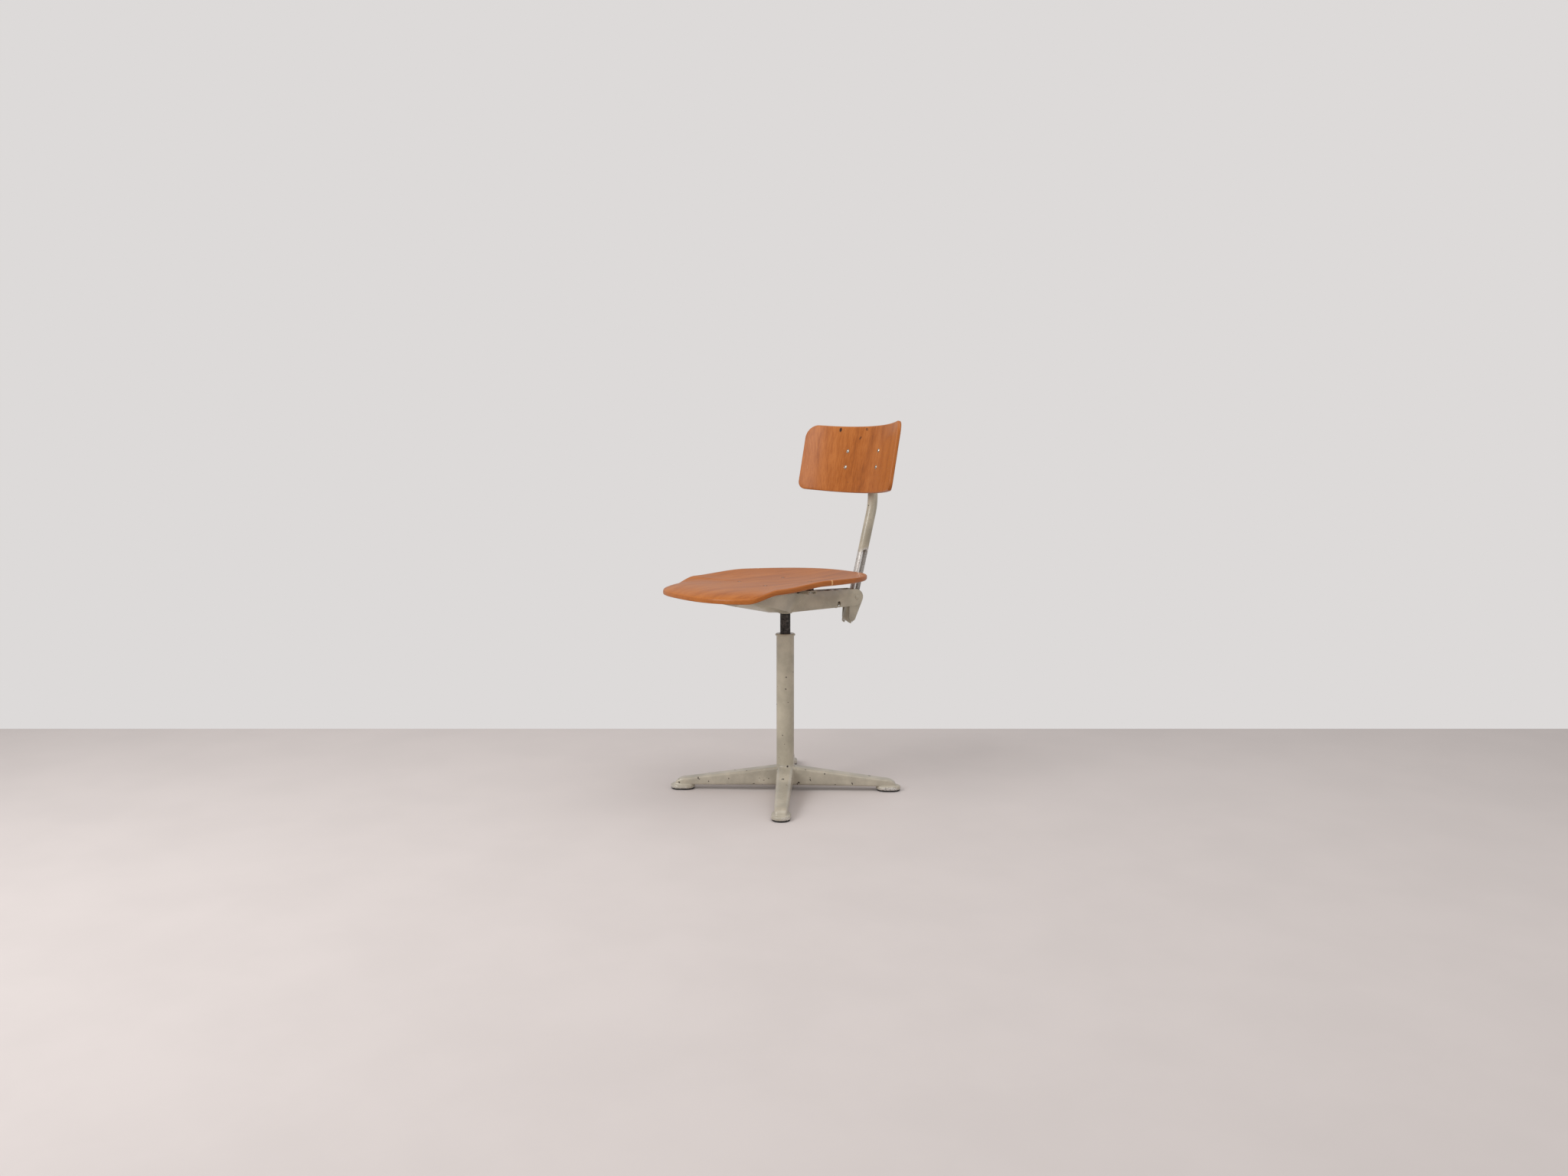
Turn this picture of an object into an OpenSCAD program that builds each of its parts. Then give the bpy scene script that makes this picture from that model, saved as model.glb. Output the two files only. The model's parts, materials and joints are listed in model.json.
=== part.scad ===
// Drafting chair: star base, screw column, moulded ply seat, sprung and height-adjustable backrest.
// Origin: on the floor, on the column's axis. +Z up, the seat faces -Y, +X is the sitter's left.

/* [Base] */
// Radius of the circle through the four toe tips
base_reach = 250; // [200:1:320]
// Turn of the star under the seat at rest, degrees
base_turn = 56.15; // [0:0.05:90]
// Height of a leg's top edge where it meets the column
leg_root_h = 51; // [44:1:80]
// Height of a leg's top edge above the toe
leg_tip_h = 26; // [20:1:36]
// Width of a leg at the column
leg_root_w = 35; // [24:0.5:36]
// Width of a leg at the toe
leg_tip_w = 28; // [18:0.5:36]
// Height of a leg's underside above the floor
leg_clear = 11; // [10:0.5:18]
// Length of the toe pad
toe_len = 53; // [44:1:80]
// Width of the toe pad
toe_w = 39.5; // [34:0.5:60]
// Height of the painted toe pad's top
toe_h = 11; // [9:0.5:16]
// Thickness of the glide under a toe
glide_t = 3; // [2:0.5:6]

/* [Column] */
// Outer diameter of the column tube
column_d = 38; // [34:0.5:50]
// Wall of the column tube
column_wall = 2.5; // [1.5:0.5:3.5]
// Height of the top of the column's collar
column_h = 342; // [300:1:420]
// Outer diameter of the rolled collar
collar_d = 43; // [42:0.5:60]
// Height of the rolled collar
collar_h = 5.5; // [4:0.5:14]
// Length of the threaded nut inside the column
nut_len = 46; // [30:1:80]

/* [Spindle] */
// Diameter of the lifting spindle
spindle_d = 22; // [18:0.5:24]
// Radial running clearance of the spindle in its nut
spindle_fit = 0.06; // [0.02:0.01:0.1]
// Upward lift from rest
lift_up = 108; // [60:6:138]
// Thickness of the loose guide disc on the spindle's foot
disc_t = 6; // [4:0.5:10]

/* [Carrier] */
// Distance from the column's collar to the underside of the carrier
carrier_gap = 46; // [40:1:70]
// Outer width of the rear channel
channel_w = 34; // [32:0.5:40]
// Height of the rear channel over the column
channel_h = 42; // [38:0.5:50]
// Sheet thickness of the carrier
sheet_t = 2.5; // [2:0.25:3]
// Half-width of the front tray's top edge over the column
tray_w_rear = 40; // [36:0.5:46]
// Half-width of the front tray's top edge at its front end
tray_w_front = 96; // [86:1:110]
// Reach of the front tray ahead of the column
tray_reach = 150; // [130:1:170]

/* [Seat] */
// Height of the seat's upper face at its middle above the carrier's channel
seat_rise = 23.5; // [18:0.5:30]
// Half-width of the seat at its middle
seat_half_w = 174; // [150:1:200]
// Reach of the seat ahead of the column
seat_front = 254; // [220:1:270]
// Reach of the seat behind the column
seat_rear = 165; // [150:1:168]
// Thickness of the seat ply
seat_t = 11; // [8:0.5:12]
// Lateral distance of the seat screws from the middle
seat_screw_x = 54; // [44:1:56]

/* [Rocker] */
// Distance of the upper pin behind the column
pin_back = 177; // [176:0.5:190]
// Distance between the upper and lower pin
pin_pitch = 45.6; // [40:0.2:52]
// Diameter of the two pins
pin_d = 10; // [8:0.5:10.5]
// Diameter of the sleeves that run in the upright's slot
sleeve_d = 12.8; // [12:0.1:13.6]
// Free clearance between pieces that move past each other
free_gap = 0.3; // [0.3:0.05:0.5]

/* [Upright] */
// Outer diameter of the upright tube
upright_d = 22; // [20:0.5:22]
// Wall of the upright tube
upright_wall = 2; // [1.5:0.25:2.5]
// Backward lean of the upright's lower part, degrees
upright_lean = 14.3; // [10:0.1:18]
// Distance from the lower pin to the corner of the bend
bend_at = 255; // [230:1:300]
// Radius of the bend's centre line
bend_r = 150; // [60:5:180]
// Height from the bend's corner to the backrest's pivot
pivot_rise = 89; // [70:1:130]
// Downward travel of the backrest
back_travel = 100; // [60:1:110]

/* [Backrest] */
// Width of the back panel along its curve
back_w = 368; // [300:1:420]
// Height of the back panel
back_h = 149; // [120:1:180]
// Thickness of the back ply
back_t = 8; // [6:0.5:12]
// Radius of the back panel's front face
back_r = 332; // [280:1:500]
// Backward lean of the panel, degrees
back_lean = 10.4; // [6:0.1:14]
// Distance from the panel's front face to its pivot
pivot_back = 27.5; // [27:0.5:36]
// Distance of the pivot below the panel's middle
pivot_drop = 6; // [0:0.5:12]
// Lateral distance of the back screws along the curve
back_screw_x = 58; // [40:1:62]
// Vertical distance of the back screws from the panel's middle
back_screw_z = 18; // [14:0.5:20]
// Diameter of the wood screws' shanks
screw_d = 6; // [4:0.5:6]

/* [Hidden] */

$fn = 96;
HULL_FN = 32;
EPS = 0.01;
PAINT = "#a49b89";
STEEL = "#8c8984";
DARK = "#3a3330";
PLY = "#b0693a";

// Column and spindle
column_foot_z = 12;
column_bore_r = column_d / 2 - column_wall;
tube_top_z = column_h - collar_h / 2;
cap_t = 3;
nut_top_z = tube_top_z;
nut_bottom_z = nut_top_z - nut_len;
disc_gap = 0.3;
disc_bore_r = 4.06;
disc_screw_r = 4;
disc_play = 0.1;
stop_gap = 1;
disc_top_z = nut_bottom_z - lift_up - stop_gap;
spindle_bottom_z = disc_top_z + disc_gap;
screw_depth = 20;

// Carrier
carrier_z = column_h + carrier_gap;
channel_slope = 5;
channel_top_z = carrier_z + channel_h;
channel_in = channel_w / 2 - sheet_t;
channel_front = 16;
web_rear = 118;
boss_drop = 2;
spindle_top_z = channel_top_z - 2;
plate_t = 2.5;
tray_front_rise = 25;
tray_mid_rise = 6;
tray_mid_reach = 60;
tray_mid_w = 32;
tray_low_w = 50;
facet_back = 48;
bar_y = 28;
bar_w = 22;
bar_h = 8;
bar_over = 10;

// Seat
seat_h = channel_top_z + seat_rise;
seat_mid_y = -40;
seat_taper = 0.0007;
seat_rim_front_z = seat_h - 13.5;
seat_rim_step = 18.5;
seat_rim_rear_step = 11.5;
seat_dish_power = 1.8;
seat_roll_power = 9;
seat_front_n = 2.6;
seat_rear_n = 2.85;
SPOKES = 64;
RINGS = 10;
front_screw_y = -82;
spacer_r = 8;
spacer_gap = 0.05;
seat_head_r = 4.5;
seat_head_h = 1.8;
seat_head_sink = 1.4;
seat_nut_r = 5;
seat_nut_h = 3.5;

// Rocker and pins
pin_z = channel_top_z - 18.5;
end_r = 18.5;
end_back = pin_back - 5;
pin_fit = 0.05;
pin_r = pin_d / 2;
upper_head_r = 6.2;
upper_head_h = 1.8;
lower_head_r = 5.8;
lower_head_h = 1.5;
cheek_out = channel_in - free_gap;
cheek_t = 2.5;
cheek_in = cheek_out - cheek_t;
saddle_in = upright_d / 2 + free_gap;
saddle_out = saddle_in + cheek_t;
rocker_top_r = 17;
rocker_low_r = 8.5;
low_pin_y = pin_back - pin_pitch * sin(upright_lean);
low_pin_z = pin_z - pin_pitch * cos(upright_lean);
slot_r = sleeve_d / 2 + free_gap;
spring_y = 131;
spring_wire = 2.6;
spring_r = 7;
abutment_t = 2.5;
abutment_bottom_z = channel_top_z - abutment_t - 1;
tongue_t = 2.5;
tongue_z = carrier_z + 10;
tongue_half_w = 10;
spring_bolt_r = 3;
tongue_hole_r = 5.6;

// Upright
upright_r = upright_d / 2;
slot_top = pin_pitch + back_travel + 0.4;
TUBE_SIDES = 36;
BEND_STEPS = 6;
bend_y = low_pin_y + bend_at * sin(upright_lean);
bend_z = low_pin_z + bend_at * cos(upright_lean);
bend_tangent = bend_r * tan(upright_lean / 2);
tube_foot = 10;
pivot_z = bend_z + pivot_rise;
tube_over_pivot = 10;
cap_h = 3;
tilt_r = 4;

// Backrest
strap_t = 3;
strap_w = 140;
strap_h = 56;
strap_corner = 8;
ear_t = 3;
ear_gap = 0.5;
ear_r = 10;
back_corner_top = 32;
back_corner_low = 17;
screw_r = screw_d / 2;
back_head_r = 4.2;
back_head_gap = 0.06;
back_nut_r = 5.2;
back_nut_h = 4.5;

// --- Shared shapes ---

// A solid made by pushing a (y, z) outline along X between x0 and x1.
module along_x(x0, x1) {
    translate([x0, 0, 0])
        rotate([90, 0, 90])
            linear_extrude(x1 - x0)
                children();
}

// A cylinder on the X axis, centred, through the point (y, z).
module cross_cylinder(r, half, y, z) {
    translate([-half, y, z])
        rotate([0, 90, 0])
            cylinder(r = r, h = 2 * half);
}

// A low dome of base radius r and height h.
module dome(r, h) {
    ball_r = (r * r + h * h) / (2 * h);
    intersection() {
        translate([0, 0, h - ball_r])
            sphere(r = ball_r);
        cylinder(r = r, h = h);
    }
}

// An oblong with full-round ends, along X.
module oblong(length, width) {
    for (side = [-1, 1])
        translate([side * (length - width) / 2, 0])
            circle(d = width);
    square([length - width, width], center = true);
}

// --- Base ---

// One cross-section of a leg: square below, rounded above.
module leg_section(at, width, top, bottom, corner = 6) {
    for (side = [-1, 1]) {
        translate([at, side * (width / 2 - corner - 1), top - corner])
            rotate([0, 90, 0])
                cylinder(r = corner, h = 1, $fn = HULL_FN);
        translate([at, side * (width / 2 - 1) - 1, bottom])
            cube([1, 2, 2]);
    }
}

module leg(turn) {
    tip = base_reach - 38;
    color(PAINT)
        rotate([0, 0, base_turn + turn])
            difference() {
                union() {
                    intersection() {
                        hull() {
                            leg_section(0, leg_root_w, leg_root_h + 4, leg_clear + 1);
                            leg_section(tip, leg_tip_w, leg_tip_h, leg_clear - 1);
                        }
                        // The legs meet each other on 45 degree planes at the column
                        linear_extrude(leg_root_h + 20)
                            polygon([[0, 0], [leg_root_w, -leg_root_w], [base_reach, -leg_root_w],
                                [base_reach, leg_root_w], [leg_root_w, leg_root_w]]);
                    }
                    hull() {
                        leg_section(tip, leg_tip_w, leg_tip_h, leg_clear - 1);
                        leg_section(base_reach - 12, leg_tip_w - 8, toe_h + 1, glide_t + 2, 3);
                    }
                    translate([base_reach - toe_len / 2, 0, glide_t])
                        linear_extrude(toe_h - glide_t)
                            oblong(toe_len, toe_w);
                }
                translate([0, 0, -EPS])
                    cylinder(d = column_d, h = column_h);
            }
}

module glide(turn) {
    inset = 1.5;
    color(DARK)
        rotate([0, 0, base_turn + turn])
            translate([base_reach - toe_len / 2, 0, 0])
                linear_extrude(glide_t)
                    oblong(toe_len - 2 * inset, toe_w - 2 * inset);
}

module column_tube() {
    color(PAINT)
        difference() {
            translate([0, 0, column_foot_z])
                cylinder(d = column_d, h = tube_top_z - column_foot_z);
            translate([0, 0, column_foot_z - EPS])
                cylinder(r = column_bore_r, h = tube_top_z);
        }
}

module column_collar() {
    bead = collar_h / 2;
    color(PAINT)
        difference() {
            union() {
                translate([0, 0, column_h - collar_h])
                    cylinder(r = collar_d / 2 - bead, h = collar_h);
                rotate_extrude()
                    translate([collar_d / 2 - bead, column_h - bead])
                        circle(r = bead);
            }
            translate([0, 0, column_h - collar_h - EPS])
                cylinder(d = column_d, h = tube_top_z - (column_h - collar_h) + EPS);
            cylinder(r = spindle_d / 2 + 1, h = column_h + EPS);
        }
}

module column_cap() {
    color(DARK)
        translate([0, 0, column_foot_z])
            cylinder(r = column_bore_r, h = cap_t);
}

module spindle_nut() {
    color(STEEL)
        difference() {
            translate([0, 0, nut_bottom_z])
                cylinder(r = column_bore_r, h = nut_len);
            translate([0, 0, nut_bottom_z - EPS])
                cylinder(r = spindle_d / 2 + spindle_fit, h = nut_len + 2 * EPS);
        }
}

// --- Spindle ---

module guide_disc() {
    color(STEEL)
        translate([0, 0, disc_top_z - disc_t])
            difference() {
                cylinder(r = column_bore_r - disc_play, h = disc_t);
                translate([0, 0, -EPS])
                    cylinder(r = disc_bore_r, h = disc_t + 2 * EPS);
            }
}

module spindle() {
    chamfer = 1.5;
    color(DARK)
        difference() {
            union() {
                translate([0, 0, spindle_bottom_z + chamfer])
                    cylinder(d = spindle_d, h = spindle_top_z - spindle_bottom_z - chamfer);
                translate([0, 0, spindle_bottom_z])
                    cylinder(r1 = spindle_d / 2 - chamfer, r2 = spindle_d / 2, h = chamfer);
            }
            translate([0, 0, spindle_bottom_z - EPS])
                cylinder(r = disc_screw_r, h = screw_depth + EPS);
        }
}

module disc_screw() {
    head_h = 5;
    head_z = disc_top_z - disc_t - disc_gap;
    color(STEEL)
        union() {
            translate([0, 0, head_z])
                cylinder(r = disc_screw_r, h = spindle_bottom_z + screw_depth - head_z);
            translate([0, 0, head_z - head_h])
                cylinder(r = 7.5, h = head_h, $fn = 6);
        }
}

module spindle_boss() {
    boss_z = carrier_z - boss_drop;
    color(PAINT)
        difference() {
            translate([0, 0, boss_z])
                cylinder(r = channel_in, h = spindle_top_z - boss_z - 2);
            translate([0, 0, boss_z - EPS])
                cylinder(d = spindle_d, h = spindle_top_z);
        }
}

// --- Carrier ---

// Side view of a channel cheek, from the front end to the round end behind the upper pin.
module cheek_outline() {
    difference() {
        union() {
            polygon([[-channel_front, carrier_z], [end_back, pin_z - end_r],
                [end_back, channel_top_z], [-channel_front, channel_top_z]]);
            translate([end_back, pin_z])
                circle(r = end_r);
        }
        translate([pin_back, pin_z])
            circle(r = pin_r);
        // Oblong window beside the spring
        translate([spring_y - 3, carrier_z + 11.5])
            rotate(75)
                oblong(11, 8);
    }
}

module carrier_channel() {
    web_slope = (pin_z - end_r - carrier_z) / (end_back + channel_front);
    web_end_z = carrier_z + web_slope * (web_rear + channel_front);
    color(PAINT)
        difference() {
            union() {
                along_x(channel_in, channel_w / 2)
                    cheek_outline();
                along_x(-channel_w / 2, -channel_in)
                    cheek_outline();
                along_x(-channel_in - EPS, channel_in + EPS)
                    polygon([[-channel_front, carrier_z], [web_rear, web_end_z],
                        [web_rear, web_end_z + sheet_t], [-channel_front, carrier_z + sheet_t]]);
            }
            translate([0, 0, carrier_z - EPS])
                cylinder(r = channel_in, h = channel_h);
        }
}

// The six corners of one side of the front tray, drawn in by an inset and raised by a lift.
function tray_side(inset, lift) = [
    [channel_w / 2 - inset, facet_back, channel_top_z + lift],
    [channel_w / 2 - inset, 3, carrier_z + inset],
    [tray_w_rear - inset, -10, channel_top_z + lift],
    [tray_mid_w - inset, -tray_mid_reach, carrier_z + tray_mid_rise + inset],
    [tray_low_w - inset, -tray_reach + inset, carrier_z + tray_front_rise + inset],
    [tray_w_front - inset, -tray_reach + inset, channel_top_z + lift]];

// The solid between both sides of the tray.
module tray_body(inset, lift) {
    speck = 0.02;
    hull()
        for (point = tray_side(inset, lift), side = [-1, 1])
            translate([side * point[0], point[1], point[2]])
                cube(speck, center = true);
}

module front_tray() {
    color(PAINT)
        difference() {
            tray_body(0, 0);
            tray_body(sheet_t, 2);
            translate([-channel_w / 2, -channel_front, carrier_z - 10])
                cube([channel_w, channel_front + facet_back + 10, channel_h + 20]);
        }
}

module tray_plate() {
    rear = 4;
    color(PAINT)
        difference() {
            translate([0, 0, channel_top_z + EPS])
                linear_extrude(plate_t)
                    polygon([[-tray_w_rear, rear], [tray_w_rear, rear],
                        [tray_w_front - 1, -tray_reach + 1], [-tray_w_front + 1, -tray_reach + 1]]);
            for (side = [-1, 1])
                translate([side * seat_screw_x, front_screw_y, channel_top_z - 1])
                    cylinder(r = screw_r, h = 10);
        }
}

module rear_crossbar() {
    color(PAINT)
        translate([0, bar_y, channel_top_z])
            difference() {
                translate([-seat_screw_x - bar_over, -bar_w / 2, 0])
                    cube([2 * (seat_screw_x + bar_over), bar_w, bar_h]);
                translate([-seat_screw_x - bar_over - 1, -bar_w / 2 + plate_t, -EPS])
                    cube([2 * (seat_screw_x + bar_over + 1), bar_w - 2 * plate_t, bar_h - plate_t]);
                for (side = [-1, 1])
                    translate([side * seat_screw_x, 0, -1])
                        cylinder(r = screw_r, h = bar_h + 2);
            }
}

// --- Seat ---

// Smooth step from 0 to 1.
function ease(t) = let (u = min(1, max(0, t))) u * u * (3 - 2 * u);

// Height of the seat's rim, falling to the rolled front.
function rim_z(y) = seat_rim_front_z + seat_rim_step * (1 - ease((-y - 125) / 65))
    + seat_rim_rear_step * (1 - ease(-y / 135));

function seat_n(s) = s > 0 ? seat_front_n : seat_rear_n;
function seat_reach(s) = s > 0 ? seat_front + seat_mid_y : seat_rear - seat_mid_y;

// Point of the seat's outline in the direction a: 0 is the left side, 90 the front.
function seat_edge(a) = let (
        s = sin(a), c = cos(a), e = 2 / seat_n(s),
        y = seat_mid_y - sign(s) * seat_reach(s) * pow(abs(s), e),
        x = sign(c) * seat_half_w * pow(abs(c), e) * (1 - seat_taper * y))
    [x, y];

// Rise of the upper face at a share rho of the way to a rim point: a dish, or a roll where it falls.
function seat_rise_at(rho, edge_y) = let (
        rise = rim_z(edge_y) - seat_h)
    rise * pow(rho, rise < 0 ? seat_roll_power : seat_dish_power);

// Point of the upper face, at a share rho of the way to the outline.
function seat_point(rho, a) = let (
        edge = seat_edge(a),
        x = edge[0] * rho,
        y = seat_mid_y + (edge[1] - seat_mid_y) * rho)
    [x, y, seat_h + seat_rise_at(rho, edge[1])];

// Share of the way from the seat's middle to its outline at the point (x, y).
function seat_share(x, y) = let (
        s = (seat_mid_y - y), n = seat_n(s),
        wide = seat_half_w * (1 - seat_taper * y))
    pow(pow(abs(x) / wide, n) + pow(abs(s) / seat_reach(s), n), 1 / n);

// Height of the upper face at the point (x, y).
function seat_top_z(x, y) = let (
        rho = seat_share(x, y),
        edge_y = seat_mid_y + (y - seat_mid_y) / rho)
    seat_h + seat_rise_at(rho, edge_y);

// The moulded shell: rings of points on the upper face, and the same rings a thickness below.
module seat_body() {
    upper = concat([[0, seat_mid_y, seat_h]],
        [for (ring = [1:RINGS], spoke = [0:SPOKES - 1]) seat_point(ring / RINGS, 360 * spoke / SPOKES)]);
    under = [for (p = upper) [p[0], p[1], p[2] - seat_t]];
    count = len(upper);
    last = 1 + (RINGS - 1) * SPOKES;
    fan = [for (k = [0:SPOKES - 1]) [0, 1 + (k + 1) % SPOKES, 1 + k]];
    strips = [for (ring = [0:RINGS - 2], k = [0:SPOKES - 1]) let (
            a = 1 + ring * SPOKES + k, b = 1 + ring * SPOKES + (k + 1) % SPOKES)
        each [[a, b, b + SPOKES], [a, b + SPOKES, a + SPOKES]]];
    top_faces = concat(fan, strips);
    under_faces = [for (f = top_faces) [f[0] + count, f[2] + count, f[1] + count]];
    rim_faces = [for (k = [0:SPOKES - 1]) let (a = last + k, b = last + (k + 1) % SPOKES)
        each [[a, b, b + count], [a, b + count, a + count]]];
    polyhedron(points = concat(upper, under), faces = concat(top_faces, under_faces, rim_faces));
}

function seat_screw_at(i) = [i % 2 == 0 ? seat_screw_x : -seat_screw_x, i < 2 ? front_screw_y : bar_y];
function head_z(i) = let (p = seat_screw_at(i)) seat_top_z(p[0], p[1]) - seat_head_sink;

module seat_shell() {
    color(PLY)
        difference() {
            seat_body();
            for (i = [0:3])
                translate(seat_screw_at(i)) {
                    cylinder(r = screw_r, h = seat_h + 50);
                    translate([0, 0, head_z(i)])
                        cylinder(r = seat_head_r + 0.2, h = 20);
                }
        }
}

// Height on which the seat's screws clamp: the tray's plate in front, the crossbar behind.
function support_z(i) = channel_top_z + (i < 2 ? plate_t + EPS : bar_h);
function support_under_z(i) = channel_top_z + (i < 2 ? EPS : bar_h - plate_t);

module seat_spacer(i) {
    p = seat_screw_at(i);
    rim = [for (a = [0:15:345]) seat_top_z(p[0] + spacer_r * cos(a), p[1] + spacer_r * sin(a))];
    top_z = min(rim) - seat_t - spacer_gap;
    color(DARK)
        translate([p[0], p[1], support_z(i)])
            difference() {
                cylinder(r = spacer_r, h = top_z - support_z(i));
                translate([0, 0, -EPS])
                    cylinder(r = screw_r, h = 40);
            }
}

module seat_screw(i) {
    p = seat_screw_at(i);
    nut_z = support_under_z(i) - seat_nut_h;
    color(STEEL)
        translate([p[0], p[1], 0])
            union() {
                translate([0, 0, nut_z - 0.5])
                    cylinder(r = screw_r, h = head_z(i) - nut_z + 1);
                translate([0, 0, nut_z])
                    cylinder(r = seat_nut_r, h = seat_nut_h, $fn = 6);
                translate([0, 0, head_z(i)])
                    dome(seat_head_r, seat_head_h);
            }
}

// --- Pins, spring and rocker ---

// Places children drawn in (across, along) coordinates: along runs up the upright from the lower pin.
module on_upright() {
    translate([0, low_pin_y, low_pin_z])
        rotate([-upright_lean, 0, 0])
            children();
}

module riveted_pin(half, head_r, head_h) {
    union() {
        cross_cylinder(pin_r, half, 0, 0);
        for (side = [0, 1])
            mirror([side, 0, 0])
                translate([half, 0, 0])
                    rotate([0, 90, 0])
                        dome(head_r, head_h);
    }
}

module sleeve() {
    difference() {
        cross_cylinder(sleeve_d / 2, cheek_in - free_gap, 0, 0);
        cross_cylinder(pin_r, cheek_in, 0, 0);
    }
}

module upper_pin() {
    color(PAINT)
        translate([0, pin_back, pin_z])
            riveted_pin(channel_w / 2, upper_head_r, upper_head_h);
}

module upper_sleeve() {
    color(STEEL)
        translate([0, pin_back, pin_z])
            sleeve();
}

module lower_pin() {
    color(PAINT)
        translate([0, low_pin_y, low_pin_z])
            riveted_pin(cheek_out, lower_head_r, lower_head_h);
}

module lower_sleeve() {
    color(STEEL)
        translate([0, low_pin_y, low_pin_z])
            sleeve();
}

// Side view of a rocker cheek: a large round at the upper pin, tapering to a small one at the lower.
module rocker_cheek() {
    tilt = asin((rocker_top_r - rocker_low_r) / pin_pitch);
    circle(r = rocker_low_r);
    translate([0, pin_pitch])
        circle(r = rocker_top_r);
    polygon([[-rocker_low_r * cos(tilt), -rocker_low_r * sin(tilt)],
        [rocker_low_r * cos(tilt), -rocker_low_r * sin(tilt)],
        [rocker_top_r * cos(tilt), pin_pitch - rocker_top_r * sin(tilt)],
        [-rocker_top_r * cos(tilt), pin_pitch - rocker_top_r * sin(tilt)]]);
}

// The half-round saddle in front of the upright, round at its foot and cut clear of both sleeves.
module rocker_saddle() {
    difference() {
        intersection() {
            translate([0, 0, -saddle_out])
                cylinder(r = saddle_out, h = saddle_out + pin_pitch);
            along_x(-channel_w, channel_w)
                union() {
                    circle(r = saddle_out);
                    translate([-channel_w, 0])
                        square([2 * channel_w, pin_pitch]);
                }
        }
        translate([0, 0, -saddle_out - 1])
            cylinder(r = saddle_in, h = saddle_out + pin_pitch + 2);
        translate([-channel_w, 0, -saddle_out - 1])
            cube([2 * channel_w, channel_w, saddle_out + pin_pitch + 2]);
        for (s = [0, pin_pitch])
            cross_cylinder(slot_r, cheek_in, 0, s);
    }
}

module rocker() {
    tongue_back = pin_back - (pin_z - tongue_z) * tan(upright_lean) - saddle_out + 1;
    color(PAINT)
        difference() {
            union() {
                on_upright()
                    difference() {
                        union() {
                            along_x(cheek_in, cheek_out)
                                rocker_cheek();
                            along_x(-cheek_out, -cheek_in)
                                rocker_cheek();
                            rocker_saddle();
                        }
                        for (s = [0, pin_pitch])
                            cross_cylinder(s == 0 ? pin_r : pin_r + pin_fit, channel_w, 0, s);
                    }
                translate([-tongue_half_w, spring_y - tongue_half_w, tongue_z])
                    cube([2 * tongue_half_w, tongue_back - spring_y + tongue_half_w, tongue_t]);
            }
            translate([0, spring_y, tongue_z - EPS])
                cylinder(r = tongue_hole_r, h = tongue_t + 2 * EPS);
        }
}

module spring_abutment() {
    color(PAINT)
        difference() {
            translate([-channel_in, spring_y - 14, abutment_bottom_z])
                cube([2 * channel_in, 28, abutment_t]);
            translate([0, spring_y, abutment_bottom_z - EPS])
                cylinder(r = spring_bolt_r, h = abutment_t + 2 * EPS);
        }
}

module spring_bolt() {
    washer_top = tongue_z - free_gap;
    color(STEEL)
        translate([0, spring_y, 0])
            union() {
                translate([0, 0, washer_top - 9])
                    cylinder(r = spring_bolt_r, h = abutment_bottom_z + abutment_t - washer_top + 9);
                translate([0, 0, abutment_bottom_z + abutment_t])
                    cylinder(r = 5.5, h = 2, $fn = 6);
                translate([0, 0, washer_top - 1.5])
                    cylinder(r = 8, h = 1.5);
                translate([0, 0, washer_top - 6.5])
                    cylinder(r = 5.7, h = 5, $fn = 6);
            }
}

// The spring's own envelope, a plain sleeve between the tongue and the abutment.
module back_spring() {
    spring_z = tongue_z + tongue_t;
    color(STEEL)
        translate([0, spring_y, spring_z])
            difference() {
                cylinder(r = spring_r + spring_wire / 2, h = abutment_bottom_z - spring_z);
                translate([0, 0, -EPS])
                    cylinder(r = spring_r - spring_wire / 2, h = channel_h);
            }
}

// --- Upright ---

// Stations along the upright: its foot, the bend's arc and its top, each [y, z, lean].
function upright_stations(foot, over) = let (
        arc_y = bend_y - bend_r,
        arc_z = bend_z + bend_tangent)
    concat(
        [[low_pin_y - foot * sin(upright_lean), low_pin_z - foot * cos(upright_lean), -upright_lean]],
        [for (k = [0:BEND_STEPS]) let (turn = upright_lean * (k / BEND_STEPS - 1))
            [arc_y + bend_r * cos(turn), arc_z + bend_r * sin(turn), turn]],
        [[bend_y, pivot_z + tube_over_pivot + over, 0]]);

// A solid rod of radius r along the upright's path, one ring of points to a station.
module upright_rod(r, foot, over) {
    stations = upright_stations(foot, over);
    last = (len(stations) - 1) * TUBE_SIDES;
    points = [for (at = stations, j = [0:TUBE_SIDES - 1]) let (
            a = 360 * j / TUBE_SIDES, across = r * cos(a))
        [r * sin(a), at[0] + across * cos(at[2]), at[1] + across * sin(at[2])]];
    foot_face = [for (j = [TUBE_SIDES - 1:-1:0]) j];
    top_face = [for (j = [0:TUBE_SIDES - 1]) last + j];
    walls = [for (g = [0:len(stations) - 2], j = [0:TUBE_SIDES - 1]) let (
            a = g * TUBE_SIDES + j, b = g * TUBE_SIDES + (j + 1) % TUBE_SIDES)
        each [[a, b + TUBE_SIDES, a + TUBE_SIDES], [a, b, b + TUBE_SIDES]]];
    polyhedron(points = points, faces = concat([foot_face], walls, [top_face]));
}

module upright_tube() {
    color(PAINT)
        difference() {
            upright_rod(upright_r, tube_foot, 0);
            upright_rod(upright_r - upright_wall, tube_foot + 1, 1);
            on_upright()
                along_x(-upright_d, upright_d)
                    union() {
                        circle(r = slot_r);
                        translate([0, slot_top])
                            circle(r = slot_r);
                        translate([-slot_r, 0])
                            square([2 * slot_r, slot_top]);
                    }
            cross_cylinder(tilt_r, upright_d, bend_y, pivot_z);
        }
}

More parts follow.
